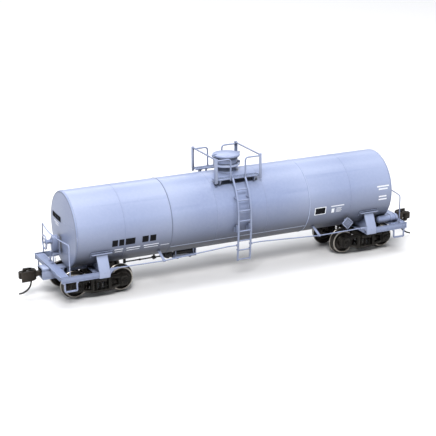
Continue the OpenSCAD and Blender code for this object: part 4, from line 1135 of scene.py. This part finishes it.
def build_head_black(bm):
    """High enough to cover the weld that crosses the head."""
    for y0, y1 in ((1.4, 4.6), (5.1, 8.0), (8.5, 12.6)):
        head_patch(bm, y0, y1, 30.6, 32.8, 0.12)


def build_head_white(bm):
    for y0, y1, z in ((4.2, 10.6, 29.2), (4.6, 9.0, 28.3)):
        head_patch(bm, y0, y1, z - 0.2, z + 0.2)


add_piece("marks_black", build_black_marks, [SAME, HALF_TURN], material="decal_black")
add_piece("marks_white", build_white_marks, [SAME, HALF_TURN], material="decal_white")
add_piece("head_marks_black", build_head_black, [SAME], material="decal_black")
add_piece("head_marks_white", build_head_white, [SAME], material="decal_white")


# ---- trucks

HALF_BASE = 10.2
AXLE_Z = 5.9
FRAME_IN = 11.3


def side_outline(grow=0.0):
    b, g = HALF_BASE, grow
    half = [(4.4, 2.7 - g), (5.2 + g, 3 - g), (b - 1.7, AXLE_Z - 1.8 - g), (b + 1.9 + g, AXLE_Z - 1.8 - g),
            (b + 2.9 + g, AXLE_Z - 0.3), (b + 2.9 + g, AXLE_Z + 1.6), (b + 1.9, 8.5 + g), (b - 1.6, 8.5 + g),
            (5.2, 9.3 + g)]
    return half + [(-x, z) for x, z in reversed(half)]


def side_windows(grow=0.0):
    b, g = HALF_BASE, grow
    return [[(-3.2 - g, 3.7 - g), (3.2 + g, 3.7 - g), (3.2 + g, 7.6 + g), (-3.2 - g, 7.6 + g)]] + \
        [[(s * (4.4 + g / 2), 4.3), (s * (4.4 + g / 2), 8.1), (s * (b - 2.7), 7.3), (s * (b - 2.5), 5.0)]
         for s in (-1, 1)]


def build_spring(bm, x, y, z0, z1, radius, turns):
    count = 14 * turns
    helix = [(x + radius * cos(t), y + radius * sin(t), z)
             for t, z in zip(steps(0, 2 * pi * turns, count), steps(z0, z1, count))]
    sweep(bm, helix, circle(0.19, 8), up=(0, 0, 1))


def build_truck_side(bm):
    plate(bm, [side_outline()] + side_windows(), 1.3, in_xz(FRAME_IN), 0.1)
    plate(bm, [side_outline(-0.05)] + side_windows(0.28), 0.75, in_xz(FRAME_IN + 1.15), 0.12)
    for s in (-1, 1):
        x = s * HALF_BASE
        block(bm, (x - 1.5, FRAME_IN, AXLE_Z - 1.9), (x + 1.5, 13.6, AXLE_Z + 2.0), 0.18)
        drum(bm, 1.3, 0.75, axis_y(x, 13.5, AXLE_Z), 0.16, 32)
        drum(bm, 0.62, 0.3, axis_y(x, 13.98, AXLE_Z), 0.08, 24)
        for bolt_x, bolt_z in arc(0.92, 90, 330, 2, x, AXLE_Z):
            hexagon(bm, 0.17, 0.16, axis_y(bolt_x, 14.12, bolt_z))
        block(bm, (x - 1.1, 12.6, AXLE_Z + 1.7), (x + 1.1, 13.8, AXLE_Z + 2.45), 0.14)
        sweep(bm, [(s * 3.9, 13.1, 3.15), (s * (HALF_BASE - 2.0), 13.1, AXLE_Z - 1.35)],
              bar_section(0.5, 0.5, 0.1), up=(0, 1, 0))
        for px, pz in ((s * 3.85, 8.5), (s * 3.85, 3.3), (s * (HALF_BASE - 2.2), 7.9)):
            hexagon(bm, 0.22, 0.2, axis_y(px, 13.15, pz))
        block(bm, (s * 3.55 - 0.35, 11.5, 3.4), (s * 3.55 + 0.35, 13.35, 8.6), 0.1)
    for x in (-2.05, 0, 2.05):
        build_spring(bm, x, 12.35, 3.65, 7.45, 0.68, 5)
        drum(bm, 0.42, 3.9, at(x, 12.35, 3.6), 0.05, 16)
    block(bm, (-3.3, 11.4, 3.05), (3.3, 13.5, 3.7), 0.12)
    block(bm, (-2.4, FRAME_IN - 0.2, 7.35), (2.4, 13.8, 8.85), 0.2)
    block(bm, (-1.5, 13.6, 7.65), (1.5, 14.0, 8.55), 0.12)
    plate(bm, [[(-3.1, 7.3), (3.1, 7.3), (3.1, 9.0), (-3.1, 9.0)]], 7.5, in_xz(4.0), 0.15)
    shoe = arc(5.35, 208, 168, 5, HALF_BASE, AXLE_Z) + arc(6.1, 168, 208, 5, HALF_BASE, AXLE_Z)
    for s in (-1, 1):
        plate(bm, [[(s * x, z) for x, z in shoe[::s]]], 1.4, in_xz(8.2), 0.1)
        block(bm, (s * 3.25, 8.4, 4.6), (s * 4.3, 9.4, 5.4), 0.1)


def build_truck_middle(bm):
    plate(bm, [[(-3.1, -5.5), (3.1, -5.5), (3.1, 5.5), (-3.1, 5.5)], circle(1.27, 32)], 2.55, at(0, 0, 7.35),
          0.15)
    revolve(bm, [(1.4, 9.7), (2.9, 9.7), (3.0, 9.78), (3.0, 9.9), (1.4, 9.9)], at(), 48)
    for s in (-1, 1):
        block(bm, (s * 3.6 - 0.35, -FRAME_IN - 0.1, 4.6), (s * 3.6 + 0.35, FRAME_IN + 0.1, 5.4), 0.12)
        for y in (-3.0, 3.0):
            block(bm, (s * 2.2 - 0.4, y - 0.4, 5.2), (s * 2.2 + 0.4, y + 0.4, 7.5), 0.12)
        block(bm, (s * 1.7, -3.4, 4.9), (s * 3.7, 3.4, 5.4), 0.12)
    for y in (-7.0, 7.0):
        drum(bm, 0.8, 0.6, at(0, y, 8.75), 0.1, 24)


def build_wheels(bm):
    back, front, tread = 7.2, 10.0, 5.25
    top = tread + 0.65
    profile = [(1.0, back - 0.3), (1.95, back - 0.3), (2.1, back - 0.22), (2.3, back + 0.35),
               (2.7, back + 0.62), (3.6, back + 0.72), (4.1, back + 0.55), (4.35, back + 0.08), (4.5, back),
               (top - 0.35, back), (top - 0.12, back + 0.06), (top, back + 0.24), (top - 0.03, back + 0.4),
               (top - 0.2, back + 0.56), (tread + 0.12, back + 0.7), (tread + 0.02, back + 0.86),
               (tread - 0.02, back + 1.1), (tread - 0.12, front - 0.2), (tread - 0.2, front - 0.06),
               (tread - 0.32, front), (4.6, front), (4.42, front - 0.1), (4.25, front - 0.62),
               (3.9, front - 0.9), (3.0, front - 1.12), (2.45, front - 1.02), (2.15, front - 0.7),
               (2.0, front - 0.2), (1.85, front - 0.1), (1.0, front - 0.1)]
    for s in (-1, 1):
        revolve(bm, profile, axis_y(side=s), 128)


def build_axle(bm):
    half = 12.9
    profile = [(0, -half), (0.12, -half + 0.08), (0.98, -half + 1.12), (1.0, -half + 1.2), (1.0, -8.0),
               (0.9, -6.7), (0.86, -3.0)]
    revolve(bm, mirrored(profile, 0), axis_y(), 32)


def build_truck(bm):
    stamp(bm, build_truck_side, SIDES)
    build_truck_middle(bm)


def add_wheelset(number):
    low, high = span_of(f"wheels_{number}")
    middle, body = (low + high) / 2, f"wheelset_{number}"
    piece = add_piece(f"{body}_wheels", build_wheels, [at(middle.x, 0, middle.z)], [f"wheels_{number}"],
                      "wheel_metal", body, 28)
    piece.data.materials.append(MATERIALS["wheel_tread"])
    for face in piece.data.polygons:
        spot = face.center / MM
        reach = hypot(spot.x - middle.x, spot.z - middle.z)
        face.material_index = 1 if reach > 5.6 or (reach > 4.6 and abs(spot.y) > 9.85) else 0
    add_piece(f"{body}_axle", build_axle, [at(middle.x, 0, middle.z)], [f"axle_{number}"], "axle_black", body)


def build_truck_screw(bm):
    r, base = 2.0, span_of("truck_screws")[0].z
    profile = [(0, 0.0), (1.2, 0.05), (r - 0.2, 0.25), (r, 0.5), (r, 0.8), (1.2, 0.8), (1.2, 4.8), (0, 5.0)]
    revolve(bm, profile, at(KING_X, 0, base), 48)
    cross_slot(bm, KING_X, base, 1.1, 0.16, -0.05, 0.14, 0.03)


for end, s in (("b", -1), ("a", 1)):
    add_piece(f"truck_{end}_frame", build_truck, [at(s * KING_X)], [f"truck_frame_{end}"], "truck_plastic",
              f"truck_{end}")
for number in range(1, 5):
    add_wheelset(number)
add_piece("truck_screws_detail", build_truck_screw, ENDS, ["truck_screws"], "screw_steel")


# ---- couplers

RIVET_X, RIVET_Y = 92.5, -1.75


def build_coupler(bm):
    low, high = span_of("coupler_a")
    mid, root = (low.z + high.z) / 2, 88.6
    eye = arc(1.9, 32, 328, 30, PIVOT_X) + [(root, -0.95), (root, 0.95)]
    plate(bm, [eye, circle(1.25, 28, PIVOT_X)], 1.9, at(0, 0, mid - 0.95), 0.14)
    head = [(88.4, -1.1), (88.4, 1.1), (89.2, 1.9), (89.9, 2.5), (91.8, 3.0), (94.7, 3.1), (95.2, 2.85),
            (95.2, 2.6), (93.9, 1.9), (92.6, 1.55), (91.9, 0.8), (91.65, 0.0), (91.6, -0.7)]
    lug = [(92.3, -0.75), (93.3, -1.2), (93.4, -1.9), (93.1, -2.6), (92.3, -2.85), (90.8, -2.75),
           (89.4, -2.1)]
    plate(bm, [head + [(91.0, -1.6), (90.6, -2.6), (89.4, -2.1)]], high.z - low.z, at(0, 0, low.z), 0.22)
    for z in (low.z, high.z - 0.75):
        plate(bm, [head[-3:] + lug + [(90.0, 0.0)]], 0.75, at(0, 0, z), 0.14)
    block(bm, (87.7, -1.15, mid - 1.15), (88.7, 1.15, mid + 1.15), 0.25)
    block(bm, (89.4, 0.6, high.z - 0.2), (91.6, 2.2, high.z), 0.09)


def build_knuckle(bm):
    low, high = span_of("knuckle_a")
    outline = arc(0.95, 95, 270, 12, RIVET_X, RIVET_Y)
    outline += [(94.1, -2.5), (94.9, -2.05), (95.35, -1.5), (95.5, -0.9), (95.5, 0.1), (95.35, 0.5),
                (95.0, 0.7), (94.6, 0.65), (94.35, 0.3), (94.2, -0.4), (93.7, -0.85), (93.1, -0.95)]
    plate(bm, [outline], high.z - low.z, at(0, 0, low.z), 0.2)


def build_rivet(bm):
    low, high = span_of("knuckle_rivet_a")
    r = (high.y - low.y) / 2
    revolve(bm, [(0, low.z), (0.35, low.z), (0.35, high.z - 0.2), (r, high.z - 0.2), (r, high.z - 0.12),
                 (r * 0.75, high.z - 0.03), (0, high.z)], at(RIVET_X, RIVET_Y), 32)


def build_trip_pin(bm):
    high = span_of("trip_pin_a")[1]
    x, bend, top, lean = 90.4, 6.0, 7.7, radians(-25)
    path = [(x, 0, high.z), (x, 0, top + 0.5)]
    for t in steps(0, radians(84), 16):
        reach = bend - bend * cos(t)
        path.append((x + reach * cos(lean), reach * sin(lean), top - bend * sin(t)))
    sweep(bm, path, circle(0.36, 16), up=(sin(lean), -cos(lean), 0))
    drum(bm, 0.4, 0.14, at(x, 0, high.z - 0.16), 0.05, 20)


for end, matrix in TURNS.items():
    for name, build, body, material, node in (
            ("coupler", build_coupler, "coupler", "coupler_metal", "coupler"),
            ("knuckle", build_knuckle, "knuckle", "coupler_metal", "knuckle"),
            ("rivet", build_rivet, "coupler", "coupler_metal", "knuckle_rivet"),
            ("trip_pin", build_trip_pin, "coupler", "pin_steel", "trip_pin")):
        add_piece(f"{name}_{end}_detail", build, [matrix], [f"{node}_{end}"], material, f"{body}_{end}")


SLOTS = {row["node"]: row["material_slot"] for row in frame["record"]["subparts"]}
for name, node in frame["nodes"].items():
    node.data.materials.clear()
    node.data.materials.append(MATERIALS[SLOTS[name]])
